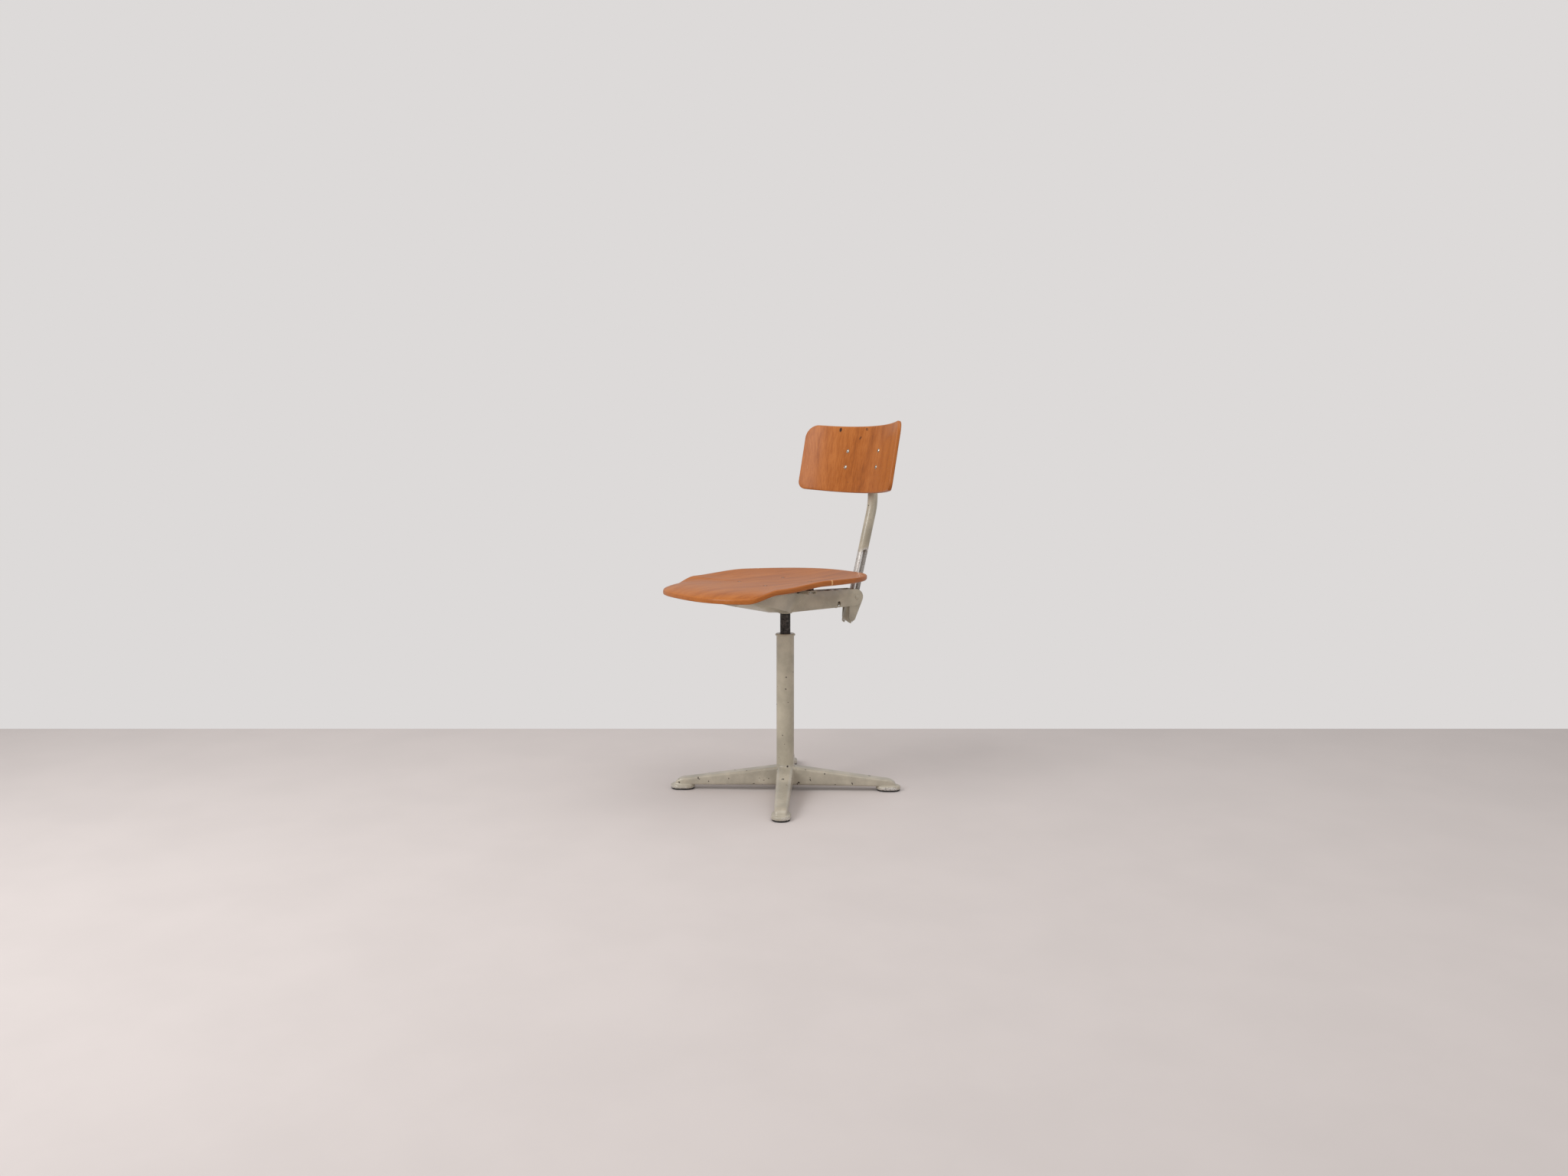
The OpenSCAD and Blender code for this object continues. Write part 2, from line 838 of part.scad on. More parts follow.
module upright_cap() {
    color(PAINT)
        translate([0, bend_y, pivot_z + tube_over_pivot])
            dome(upright_r, cap_h);
}

module tilt_bolt() {
    head_x = upright_r + ear_gap + ear_t + free_gap;
    color(STEEL)
        union() {
            cross_cylinder(tilt_r, head_x + 3, bend_y, pivot_z);
            translate([head_x, bend_y, pivot_z])
                rotate([0, 90, 0])
                    dome(8, 4.5);
            translate([-head_x, bend_y, pivot_z])
                rotate([0, -90, 0])
                    cylinder(r = 7.5, h = 6, $fn = 6);
        }
}

// --- Backrest ---

// Places children drawn in the panel's own frame: origin at the middle of its front face.
module on_panel() {
    translate([0, bend_y, pivot_z])
        rotate([-back_lean, 0, 0])
            translate([0, -pivot_back, pivot_drop])
                children();
}

// A curved sheet concentric with the panel, cut to a (x, z) outline.
module curved_sheet(inner_r, thickness) {
    intersection() {
        translate([0, -back_r, -back_h])
            difference() {
                cylinder(r = inner_r + thickness, h = 2 * back_h, $fn = 256);
                translate([0, 0, -1])
                    cylinder(r = inner_r, h = 2 * back_h + 2, $fn = 256);
            }
        translate([0, back_r / 2, 0])
            rotate([90, 0, 0])
                linear_extrude(back_r)
                    children();
    }
}

// Rounded rectangle with its own corner radius above and below.
module rounded_panel(width, height, top_r, low_r) {
    for (side = [-1, 1]) {
        translate([side * (width / 2 - top_r), height / 2 - top_r])
            circle(r = top_r);
        translate([side * (width / 2 - low_r), -height / 2 + low_r])
            circle(r = low_r);
    }
    polygon([[-width / 2, -height / 2 + low_r], [-width / 2 + low_r, -height / 2],
        [width / 2 - low_r, -height / 2], [width / 2, -height / 2 + low_r],
        [width / 2, height / 2 - top_r], [width / 2 - top_r, height / 2],
        [-width / 2 + top_r, height / 2], [-width / 2, height / 2 - top_r]]);
}

// Children face the back's outside along +Y at one screw's place, on the panel's front face.
module at_back_screw(i) {
    turn = 180 / PI * back_screw_x / back_r * (i % 2 == 0 ? -1 : 1);
    translate([0, -back_r, i < 2 ? back_screw_z : -back_screw_z])
        rotate([0, 0, turn])
            translate([0, back_r, 0])
                children();
}

module back_screw_holes() {
    for (i = [0:3])
        at_back_screw(i)
            rotate([90, 0, 0])
                cylinder(r = screw_r, h = 80, center = true);
}

module back_panel() {
    chord = 2 * back_r * sin(180 / PI * back_w / 2 / back_r);
    color(PLY)
        on_panel()
            difference() {
                curved_sheet(back_r, back_t)
                    rounded_panel(chord, back_h, back_corner_top, back_corner_low);
                back_screw_holes();
            }
}

module back_strap() {
    color(PAINT)
        on_panel()
            difference() {
                curved_sheet(back_r + back_t, strap_t)
                    rounded_panel(strap_w, strap_h, strap_corner, strap_corner);
                back_screw_holes();
            }
}

module back_ear(side) {
    inner = upright_r + ear_gap;
    root = back_t + strap_t - 0.2;
    half = 16;
    color(PAINT)
        on_panel()
            difference() {
                along_x(side > 0 ? inner : -inner - ear_t, side > 0 ? inner + ear_t : -inner)
                    union() {
                        polygon([[root, -half - pivot_drop], [pivot_back, -ear_r - pivot_drop],
                            [pivot_back, ear_r - pivot_drop], [root, half - pivot_drop]]);
                        translate([pivot_back, -pivot_drop])
                            circle(r = ear_r);
                    }
                cross_cylinder(tilt_r + pin_fit, 2 * upright_d, pivot_back, -pivot_drop);
                translate([0, -back_r, -back_h])
                    cylinder(r = back_r + back_t + strap_t, h = 2 * back_h, $fn = 256);
            }
}

module back_screw(i) {
    grip = back_t + strap_t;
    color(STEEL)
        on_panel()
            at_back_screw(i)
                rotate([-90, 0, 0])
                    union() {
                        translate([0, 0, -back_head_gap])
                            cylinder(r = screw_r, h = grip + back_nut_h + 1.5);
                        translate([0, 0, -back_head_gap])
                            mirror([0, 0, 1])
                                dome(back_head_r, 2);
                        translate([0, 0, grip])
                            cylinder(r = back_nut_r, h = back_nut_h, $fn = 6);
                    }
}

// --- Nodes ---

column_tube();
column_collar();
column_cap();
spindle_nut();
leg(0);  // leg_1
leg(90);  // leg_2
leg(180);  // leg_3
leg(270);  // leg_4
glide(0);  // glide_1
glide(90);  // glide_2
glide(180);  // glide_3
glide(270);  // glide_4
guide_disc();
spindle();
disc_screw();
spindle_boss();
carrier_channel();
front_tray();
tray_plate();
rear_crossbar();
seat_shell();
seat_spacer(0);  // seat_spacer_1
seat_spacer(1);  // seat_spacer_2
seat_spacer(2);  // seat_spacer_3
seat_spacer(3);  // seat_spacer_4
seat_screw(0);  // seat_screw_1
seat_screw(1);  // seat_screw_2
seat_screw(2);  // seat_screw_3
seat_screw(3);  // seat_screw_4
upper_pin();
upper_sleeve();
spring_abutment();
spring_bolt();
back_spring();
rocker();
lower_pin();
lower_sleeve();
upright_tube();
upright_cap();
tilt_bolt();
back_strap();
back_ear(1);  // back_ear_left
back_ear(-1);  // back_ear_right
back_panel();
back_screw(0);  // back_screw_1
back_screw(1);  // back_screw_2
back_screw(2);  // back_screw_3
back_screw(3);  // back_screw_4
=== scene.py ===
"""Drafting chair: star base, screw column, moulded ply seat and sprung backrest, dressed for a studio.

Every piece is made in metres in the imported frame: the floor is z = 0, the column stands on the
origin, the seat faces -Y and +X is the sitter's left. Sizes in the classes are millimetres.
"""

import json
import logging
import math
from collections.abc import Callable, Iterable, Iterator
from contextlib import contextmanager
from dataclasses import dataclass
from enum import Enum
from typing import Any

import bpy
import numpy as np
from mathutils import Matrix, Vector


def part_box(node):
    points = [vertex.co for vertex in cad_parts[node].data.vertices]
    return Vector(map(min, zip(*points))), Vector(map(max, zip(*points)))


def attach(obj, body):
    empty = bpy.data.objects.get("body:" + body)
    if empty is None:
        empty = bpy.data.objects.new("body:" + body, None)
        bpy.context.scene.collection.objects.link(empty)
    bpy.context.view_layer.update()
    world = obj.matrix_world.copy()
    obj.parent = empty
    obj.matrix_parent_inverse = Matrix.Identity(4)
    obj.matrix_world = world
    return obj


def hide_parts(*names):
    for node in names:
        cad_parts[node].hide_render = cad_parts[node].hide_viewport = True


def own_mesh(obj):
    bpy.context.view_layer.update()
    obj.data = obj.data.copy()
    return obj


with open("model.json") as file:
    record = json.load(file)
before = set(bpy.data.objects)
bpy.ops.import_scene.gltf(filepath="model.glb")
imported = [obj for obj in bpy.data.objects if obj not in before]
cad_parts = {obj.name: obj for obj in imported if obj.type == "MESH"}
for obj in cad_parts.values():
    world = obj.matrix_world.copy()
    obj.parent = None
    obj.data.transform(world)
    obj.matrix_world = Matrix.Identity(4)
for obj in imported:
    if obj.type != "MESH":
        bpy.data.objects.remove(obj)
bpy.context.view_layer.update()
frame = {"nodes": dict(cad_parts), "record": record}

log = logging.getLogger("chair")
MM = 0.001
Colour = tuple[float, float, float]
Place = Callable[[float, int], tuple[float, float, float]]
Nick = tuple[float, float, float, float]


class Slot(Enum):
    """The record's material slots."""

    PAINT = "paint"
    CAST = "cast_paint"
    STEEL = "steel"
    SPINDLE = "spindle_steel"
    PLY = "ply"
    GLIDE = "glide"
    FIBRE = "fibre"


# --- Shader graphs ---


def tone(red: float, green: float, blue: float) -> Colour:
    """A linear colour from display values of 0 to 255."""
    return tuple(
        v / 12.92 if v <= 0.04045 else ((v + 0.055) / 1.055) ** 2.4
        for v in (c / 255 for c in (red, green, blue))
    )


class Link:
    """An output socket whose sums, differences and products add Math nodes."""

    def __init__(self, graph: "Graph", socket: bpy.types.NodeSocket) -> None:
        """Wraps a socket.

        Args:
            graph: The graph that the socket belongs to.
            socket: The output to read.
        """
        self.graph = graph
        self.socket = socket

    def _math(self, operation: str, first: Any, second: Any) -> "Link":
        """A Math node on two values.

        Args:
            operation: The node's operation.
            first: A number or a link.
            second: A number or a link.

        Returns:
            The node's result.
        """
        return self.graph.node("ShaderNodeMath", {"operation": operation}, {0: first, 1: second})

    def __add__(self, other: Any) -> "Link":
        """This value plus another."""
        return self._math("ADD", self, other)

    __radd__ = __add__

    def __mul__(self, other: Any) -> "Link":
        """This value times another."""
        return self._math("MULTIPLY", self, other)

    def __sub__(self, other: Any) -> "Link":
        """This value less another."""
        return self._math("SUBTRACT", self, other)

    def __rsub__(self, other: Any) -> "Link":
        """Another value less this one."""
        return self._math("SUBTRACT", other, self)

    def __or__(self, other: Any) -> "Link":
        """The greater of two masks."""
        return self._math("MAXIMUM", self, other)


class Graph:
    """One material's nodes."""

    def __init__(self, name: str, **shader: Any) -> None:
        """Makes a material with one Principled shader.

        Args:
            name: The material's name.
            shader: Constants for the shader's sockets, with _ for a space.
        """
        self.material = bpy.data.materials.new(name)
        self.material.use_nodes = True
        self.tree = self.material.node_tree
        self.shader = self.tree.nodes["Principled BSDF"]
        for socket, value in shader.items():
            self.shader.inputs[socket.replace("_", " ").title().replace("Ior", "IOR")].default_value = value

    def node(self, kind: str, settings: dict[str, Any] | None = None,
             inputs: dict[Any, Any] | None = None, output: Any = 0) -> Link:
        """Adds any node.

        Args:
            kind: The node's type.
            settings: Properties, set first; "stops" fills a colour ramp.
            inputs: Numbers, tuples or links by socket name or place.
            output: The output to hand back, by name or place.

        Returns:
            The chosen output.
        """
        made = self.tree.nodes.new(kind)
        for key, value in (settings or {}).items():
            if key == "stops":
                ramp = made.color_ramp.elements
                while len(ramp) < len(value):
                    ramp.new(0.5)
                for stop, (at, colour) in zip(ramp, value):
                    stop.position = at
                    stop.color = (*colour, 1.0)
            else:
                setattr(made, key, value)
        for key, value in (inputs or {}).items():
            self.feed(made.inputs[key], value)
        return Link(self, made.outputs[output])

    def feed(self, socket: bpy.types.NodeSocket, value: Any) -> None:
        """Sets or links one input.

        Args:
            socket: The input.
            value: A number, a tuple or a link.
        """
        if isinstance(value, Link):
            self.tree.links.new(value.socket, socket)
        elif isinstance(value, tuple) and socket.type == "RGBA" and len(value) == 3:
            socket.default_value = (*value, 1.0)
        else:
            socket.default_value = value

    def surface(self, **inputs: Any) -> bpy.types.Material:
        """Links what varies to the shader.

        Args:
            inputs: Links by the shader's socket name, with _ for a space.

        Returns:
            The finished material.
        """
        for name, value in inputs.items():
            self.feed(self.shader.inputs[name.replace("_", " ").title()], value)
        return self.material

    def coords(self, scale: tuple[float, float, float] = (1, 1, 1),
               shift: tuple[float, float, float] = (0, 0, 0)) -> Link:
        """Object coordinates, stretched and shifted."""
        place = self.node("ShaderNodeTexCoord", output="Object")
        return self.node("ShaderNodeMapping", None, {"Vector": place, "Scale": scale, "Location": shift})

    def noise(self, vector: Link, scale: float, detail: float = 2.0, rough: float = 0.5) -> Link:
        """Smooth noise from 0 to 1."""
        return self.node("ShaderNodeTexNoise", None,
                         {"Vector": vector, "Scale": scale, "Detail": detail, "Roughness": rough})

    def step(self, value: Link, low: float, high: float) -> Link:
        """0 below low, 1 above high and a smooth step between."""
        return self.node("ShaderNodeMapRange", {"interpolation_type": "SMOOTHSTEP"},
                         {0: value, 1: low, 2: high, 3: 0.0, 4: 1.0})

    def mix(self, share: Any, low: Any, high: Any) -> Link:
        """A colour between low and high."""
        return self.node("ShaderNodeMix", {"data_type": "RGBA"}, {0: share, 6: low, 7: high}, 2)

    def mark(self, name: str) -> Link:
        """A mesh attribute's value."""
        return self.node("ShaderNodeAttribute", {"attribute_name": name}, output="Fac")

    def bump(self, height: Link, strength: float, distance: float) -> Link:
        """A normal from a height."""
        return self.node("ShaderNodeBump", None,
                         {"Height": height, "Strength": strength, "Distance": distance})


# --- Finishes ---


@dataclass(frozen=True)
class Enamel:
    """Glossy grey-green enamel, chipped through to dark metal and worn bright below a height."""

    name: str
    colour: Colour
    texture: float = 0.0006
    chips: float = 0.735
    shift: float = 0.0
    bare_top: float = 0.0

    def material(self) -> bpy.types.Material:
        """The enamel's material."""
        g = Graph(self.name, coat_weight=0.35, coat_roughness=0.12, ior=1.5)
        place = g.coords(shift=(self.shift, self.shift, self.shift))
        cloud = g.noise(place, 14.0, 4.0, 0.6)
        grain = g.noise(place, 420.0, 3.0)
        edge = g.mark("edge")
        spots = g.step(g.noise(place, 95.0, 2.0, 0.4), self.chips, self.chips + 0.02)
        flakes = g.step(g.noise(place, 150.0, 4.0, 0.65) + edge * 0.12 + cloud * 0.12, 0.735, 0.765)
        chip = spots | flakes * g.step(edge, 0.2, 0.7)
        hair = g.noise(g.coords((900.0, 900.0, 45.0), (3.1, 1.7, 0.4)), 1.0, 1.0)
        scratch = g.step(hair, 0.735, 0.76) * g.step(cloud, 0.5, 0.62)
        height_up = g.node("ShaderNodeSeparateXYZ", None, {0: g.coords()}, "Z")
        bright = g.step(self.bare_top - height_up + cloud * 0.07 + edge * 0.01, 0.028, 0.04)
        pale = tuple(min(1.0, c * 1.16 + 0.01) for c in self.colour)
        dull = tuple(c * 0.80 for c in self.colour)
        # Painted highlight: a paler copy of the paint colour, meant for the convex edges.
        rim = tuple(min(1.0, c * 1.35 + 0.02) for c in self.colour)
        body = g.mix(g.step(cloud, 0.32, 0.70), dull, pale)
        # Painted highlight laid along convex edges, where the edge attribute is high.
        body = g.mix(g.step(edge, 0.3, 0.9) * 0.7, body, rim)
        body = g.mix(scratch * 0.5, body, tone(224, 219, 205))
        body = g.mix(g.step(grain, 0.62, 0.74) * 0.18, body, tone(92, 82, 66))
        body = g.mix(bright, body, g.mix(g.step(grain + edge * 0.4, 0.45, 0.8), tone(214, 211, 206),
                                         tone(118, 108, 98)))
        body = g.mix(chip, body, g.mix(grain, tone(38, 31, 27), tone(74, 62, 52)))
        rough = 0.26 + cloud * 0.14 + chip * 0.3 + scratch * 0.1
        height = grain * 0.25 + g.noise(place, 120.0, 2.0) * 0.9 - chip * 1.6
        return g.surface(base_color=body, roughness=rough, metallic=bright * 0.55,
                         normal=g.bump(height, 0.35, self.texture))


@dataclass(frozen=True)
class Steel:
    """Bare or plated steel, brushed, spotted and greasy by degrees."""

    name: str
    colour: Colour
    grime: Colour
    dirt: float
    rough: float

    def material(self) -> bpy.types.Material:
        """The steel's material."""
        g = Graph(self.name)
        place = g.coords()
        brushed = g.noise(g.coords((60.0, 60.0, 900.0)), 1.0, 3.0)
        cloud = g.noise(place, 160.0, 5.0, 0.7)
        dirt = g.step(cloud, 0.62 - self.dirt * 0.4, 0.78 - self.dirt * 0.3)
        body = g.mix(g.step(brushed, 0.3, 0.7), self.colour, tuple(c * 0.72 for c in self.colour))
        body = g.mix(dirt, body, self.grime)
        height = brushed * 0.3 + cloud * 0.7
        return g.surface(base_color=body, metallic=1.0 - dirt * 0.75,
                         roughness=self.rough + dirt * 0.25 + brushed * 0.12,
                         normal=g.bump(height, 0.3, 0.0004))


@dataclass(frozen=True)
class Ply:
    """Lacquered beech ply: straight grain, short flecks, layered rim and worn places."""

    name: str
    grain: tuple[float, float, float]
    light: Colour = tone(182, 110, 50)
    mid: Colour = tone(162, 91, 34)
    dark: Colour = tone(128, 68, 24)
    bare: Colour = tone(216, 164, 110)
    layers: int = 7
    knot: tuple[float, float, float] | None = None

    def along(self, fine: float, coarse: float) -> tuple[float, float, float]:
        """Pattern scales that stretch along the grain.

        Args:
            fine: Scale across the grain.
            coarse: Scale along the grain.

        Returns:
            One scale for each axis.
        """
        return tuple(coarse if axis else fine for axis in self.grain)

    def material(self) -> bpy.types.Material:
        """The ply's material."""
        g = Graph(self.name, coat_weight=0.1, coat_roughness=0.18, specular_ior_level=0.22,
                  ior=1.45)
        place = g.coords()
        figure = g.noise(g.coords(self.along(34.0, 3.2)), 1.0, 5.0, 0.62)
        lines = g.noise(g.coords(self.along(260.0, 9.0)), 1.0, 3.0, 0.6)
        flecks = g.step(g.noise(g.coords(self.along(900.0, 130.0)), 1.0, 2.0), 0.60, 0.72)
        cloud = g.noise(place, 9.0, 3.0, 0.55)
        spots = g.step(g.noise(g.coords(shift=(0.37, 0.11, 0.83)), 60.0, 3.0), 0.715, 0.75)
        hairs = g.step(g.noise(g.coords(self.along(420.0, 26.0), (1.3, 2.9, 0.6)), 1.0, 2.0), 0.70, 0.74)
        body = g.node("ShaderNodeValToRGB", {"stops": [
            (0.30, self.dark), (0.47, self.mid), (0.62, self.light), (0.80, self.mid)]},
            {"Fac": figure * 0.62 + lines * 0.38})
        body = g.mix(g.step(cloud, 0.38, 0.72) * 0.45, body, self.light)
        body = g.mix(flecks * 0.30, body, self.dark)
        body = g.mix(hairs * g.step(cloud, 0.45, 0.6) * 0.35, body, self.bare)
        body = g.mix(spots * 0.75, body, tone(84, 44, 24))
        if self.knot:
            spread = (260.0, 150.0, 190.0)
            offset = g.coords(spread, tuple(-at * by for at, by in zip(self.knot, spread)))
            near = g.node("ShaderNodeVectorMath", {"operation": "LENGTH"}, {0: offset}, "Value")
            body = g.mix(g.step(1.5 - near + lines * 0.4, 0.5, 1.1), body, tone(62, 34, 20))
        depth = g.mark("depth")
        rim = g.mark("rim")
        stripe = g.node("ShaderNodeMath", {"operation": "SINE"},
                        {0: depth * (self.layers * math.pi)})
        layer = g.step(stripe + lines * 0.8, -0.1, 0.9)
        side = g.mix(layer, tone(158, 90, 42), tone(178, 108, 54))
        body = g.mix(g.step(rim, 0.2, 0.8) * 0.4, body, side)
        worn = g.mark("bare")
        gone = g.step(worn + g.noise(place, 240.0, 4.0, 0.7) * 0.5, 0.62, 0.74)
        scuff = g.step(g.mark("edge") + g.noise(place, 130.0, 4.0, 0.7) * 1.1, 1.18, 1.34)
        body = g.mix(gone | scuff * 0.6, body, self.bare)
        rough = 0.30 + cloud * 0.16 + gone * 0.35 + hairs * 0.1
        height = lines * 0.35 + flecks * -0.35 + cloud * 1.5 - gone * 1.5
        return g.surface(base_color=body, roughness=rough, normal=g.bump(height, 0.3, 0.0006))


@dataclass(frozen=True)
class Moulded:
    """Dull dark rubber or fibre."""

    name: str
    colour: Colour
    rough: float = 0.7

    def material(self) -> bpy.types.Material:
        """The rubber's material."""
        g = Graph(self.name)
        place = g.coords()
        cloud = g.noise(place, 130.0, 4.0, 0.65)
        dusty = tuple(c * 1.9 + 0.02 for c in self.colour)
        body = g.mix(g.step(cloud, 0.4, 0.75), self.colour, dusty)
        return g.surface(base_color=body, roughness=self.rough - cloud * 0.15,
                         normal=g.bump(cloud, 0.4, 0.0005))


@dataclass(frozen=True)
class Ground:
    """The studio's pale matt floor."""

    name: str = "studio_floor"
    colour: Colour = tone(209, 201, 198)

    def material(self) -> bpy.types.Material:
        """The floor's material."""
        g = Graph(self.name)
        cloud = g.noise(g.coords(), 5.0, 4.0, 0.6)
        body = g.mix(g.step(cloud, 0.3, 0.7), tuple(c * 0.97 for c in self.colour), self.colour)
        return g.surface(base_color=body, roughness=0.5 + cloud * 0.2)


# --- Bench work ---


def take(piece: bpy.types.Object) -> None:
    """Selects one piece and nothing else."""
    bpy.ops.object.select_all(action="DESELECT")
    piece.select_set(True)
    bpy.context.view_layer.objects.active = piece


@contextmanager
def editing(piece: bpy.types.Object, everything: bool = True) -> Iterator[None]:
    """Edit mode on one piece, all of it selected or none."""
    take(piece)
    bpy.ops.object.mode_set(mode="EDIT")
    bpy.ops.mesh.select_all(action="SELECT" if everything else "DESELECT")
    yield
    bpy.ops.object.mode_set(mode="OBJECT")


def newest(name: str) -> bpy.types.Object:
    """The piece that was just added, named, with its place moved into its mesh."""
    piece = bpy.context.object
    piece.name = piece.data.name = name
    take(piece)
    bpy.ops.object.transform_apply(location=True, rotation=True, scale=True)
    return piece


def finish(piece: bpy.types.Object, kind: str, **settings: Any) -> None:
    """Adds one modifier and applies it.

    Args:
        piece: The piece to shape.
        kind: The modifier's type.
        settings: The modifier's properties.
    """
    take(piece)
    modifier = piece.modifiers.new(kind.title(), kind)
    for key, value in settings.items():
        setattr(modifier, key, value)
    bpy.ops.object.modifier_apply(modifier=modifier.name)


def close_up(piece: bpy.types.Object, gap: float = 0.00001) -> None:
    """Merges doubles and turns every face outwards."""
    with editing(piece):
        bpy.ops.mesh.remove_doubles(threshold=gap)
        bpy.ops.mesh.normals_make_consistent(inside=False)


def smooth(piece: bpy.types.Object, degrees: float = 35.0) -> None:
    """Smooth shading, with edges past an angle left sharp."""
    take(piece)
    bpy.ops.object.shade_smooth_by_angle(angle=math.radians(degrees))


def select_level(piece: bpy.types.Object, level: float) -> None:
    """Selects the vertices at one height; called from edit mode."""
    bpy.ops.mesh.select_all(action="DESELECT")
    bpy.ops.object.mode_set(mode="OBJECT")
    for vertex in piece.data.vertices:
        vertex.select = abs(vertex.co.z - level) < 0.01
    bpy.ops.object.mode_set(mode="EDIT")
    bpy.ops.mesh.select_mode(type="VERT")


def ring_body(name: str, sides: int, rings: int, place: Place,
              marks: dict[str, Callable[[float, int], float]] | None = None,
              hollow: bool = False) -> bpy.types.Object:
    """A closed body drawn up ring by ring from a circle.

    The circle is extruded once for each ring, both ends are capped, and each ring is then
    shaped. The last ring of a hollow body falls on its first, and neither is capped.

    Args:
        name: The piece's name.
        sides: Points in a ring.
        rings: Number of rings.
        place: Gives a point in millimetres from the turn (0 to 1) and the ring's number.
        marks: Vertex attributes to store, from the same two values.
        hollow: Whether the rings close on themselves.

    Returns:
        The new piece.
    """
    bpy.ops.object.select_all(action="DESELECT")
    bpy.ops.mesh.primitive_circle_add(vertices=sides, radius=1.0, fill_type="NOTHING")
    piece = newest(name)
    with editing(piece):
        for _ in range(rings - 1):
            bpy.ops.mesh.extrude_edges_move(TRANSFORM_OT_translate={"value": (0, 0, 1)})
        for level in () if hollow else (0, rings - 1):
            select_level(piece, level)
            bpy.ops.mesh.edge_face_add()
    mesh = piece.data
    spots = [(round(math.atan2(v.co.y, v.co.x) / math.tau * sides) % sides / sides, round(v.co.z))
             for v in mesh.vertices]
    for vertex, spot in zip(mesh.vertices, spots):
        vertex.co = Vector(place(*spot)) * MM
    for key, mark in (marks or {}).items():
        layer = mesh.attributes.new(key, "FLOAT", "POINT")
        layer.data.foreach_set("value", [mark(*spot) for spot in spots])
    close_up(piece, 0.0000001)
    return piece


def turned(turn: float, radius: float, height: float) -> tuple[float, float, float]:
    """A point on the Z axis's circle of one radius and height."""
    return (radius * math.cos(turn * math.tau), radius * math.sin(turn * math.tau), height)


def lathe(name: str, sides: int, outline: list[tuple[float, float]],
          hollow: bool = False) -> bpy.types.Object:
    """A turned body on the Z axis.

    Args:
        name: The piece's name.
        sides: Points in a ring.
        outline: Radius and height of each ring, in millimetres.
        hollow: Whether the outline closes on itself round an open bore.

    Returns:
        The new piece.
    """
    def place(turn: float, ring: int) -> tuple[float, float, float]:
        """One point of the turned body."""
        return turned(turn, *outline[ring])

    return ring_body(name, sides, len(outline), place, hollow=hollow)


def arc(centre: tuple[float, float], radius: float, start: float, end: float,
        steps: int) -> list[tuple[float, float]]:
    """Points of an arc between two angles in degrees."""
    angles = (math.radians(start + (end - start) * k / steps) for k in range(steps + 1))
    return [(centre[0] + radius * math.cos(a), centre[1] + radius * math.sin(a)) for a in angles]


def joined(name: str, parts: list[bpy.types.Object]) -> bpy.types.Object:
    """Several meshes made one piece."""
    take(parts[0])
    for part in parts:
        part.select_set(True)
    bpy.ops.object.join()
    parts[0].name = parts[0].data.name = name
    return parts[0]


def copied(piece: bpy.types.Object, name: str, move: Matrix) -> bpy.types.Object:
    """A copy with its own mesh, moved in its mesh."""
    copy = bpy.data.objects.new(name, piece.data.copy())
    copy.data.name = name
    bpy.context.scene.collection.objects.link(copy)
    copy.data.transform(move)
    return copy


def cut(piece: bpy.types.Object, cutter: bpy.types.Object, operation: str = "DIFFERENCE") -> None:
    """Takes one body from another and drops the cutter."""
    finish(piece, "BOOLEAN", object=cutter, operation=operation, solver="EXACT")
    bpy.data.objects.remove(cutter)


def crests(piece: bpy.types.Object, gain: float) -> None:
    """Stores how far each vertex stands proud of its neighbours as the edge attribute.

    Args:
        piece: A piece with a dense mesh.
        gain: What the mean rise is multiplied by.
    """
    mesh = piece.data
    count = len(mesh.vertices)
    points = np.zeros(count * 3)
    mesh.vertices.foreach_get("co", points)
    points = points.reshape(-1, 3)
    normals = np.zeros(count * 3)
    mesh.vertices.foreach_get("normal", normals)
    normals = normals.reshape(-1, 3)
    ends = np.zeros(len(mesh.edges) * 2, dtype=np.int64)
    mesh.edges.foreach_get("vertices", ends)
    ends = ends.reshape(-1, 2)
    total, near = np.zeros(count), np.zeros(count)
    for a, b in ((0, 1), (1, 0)):
        step = points[ends[:, a]] - points[ends[:, b]]
        step /= np.maximum(np.linalg.norm(step, axis=1, keepdims=True), 1e-9)
        np.add.at(total, ends[:, a], np.einsum("ij,ij->i", step, normals[ends[:, a]]))
        np.add.at(near, ends[:, a], 1)
    proud = np.clip(total / np.maximum(near, 1) * gain, 0, 1)
    mesh.attributes.new("edge", "FLOAT", "POINT").data.foreach_set("value", proud)


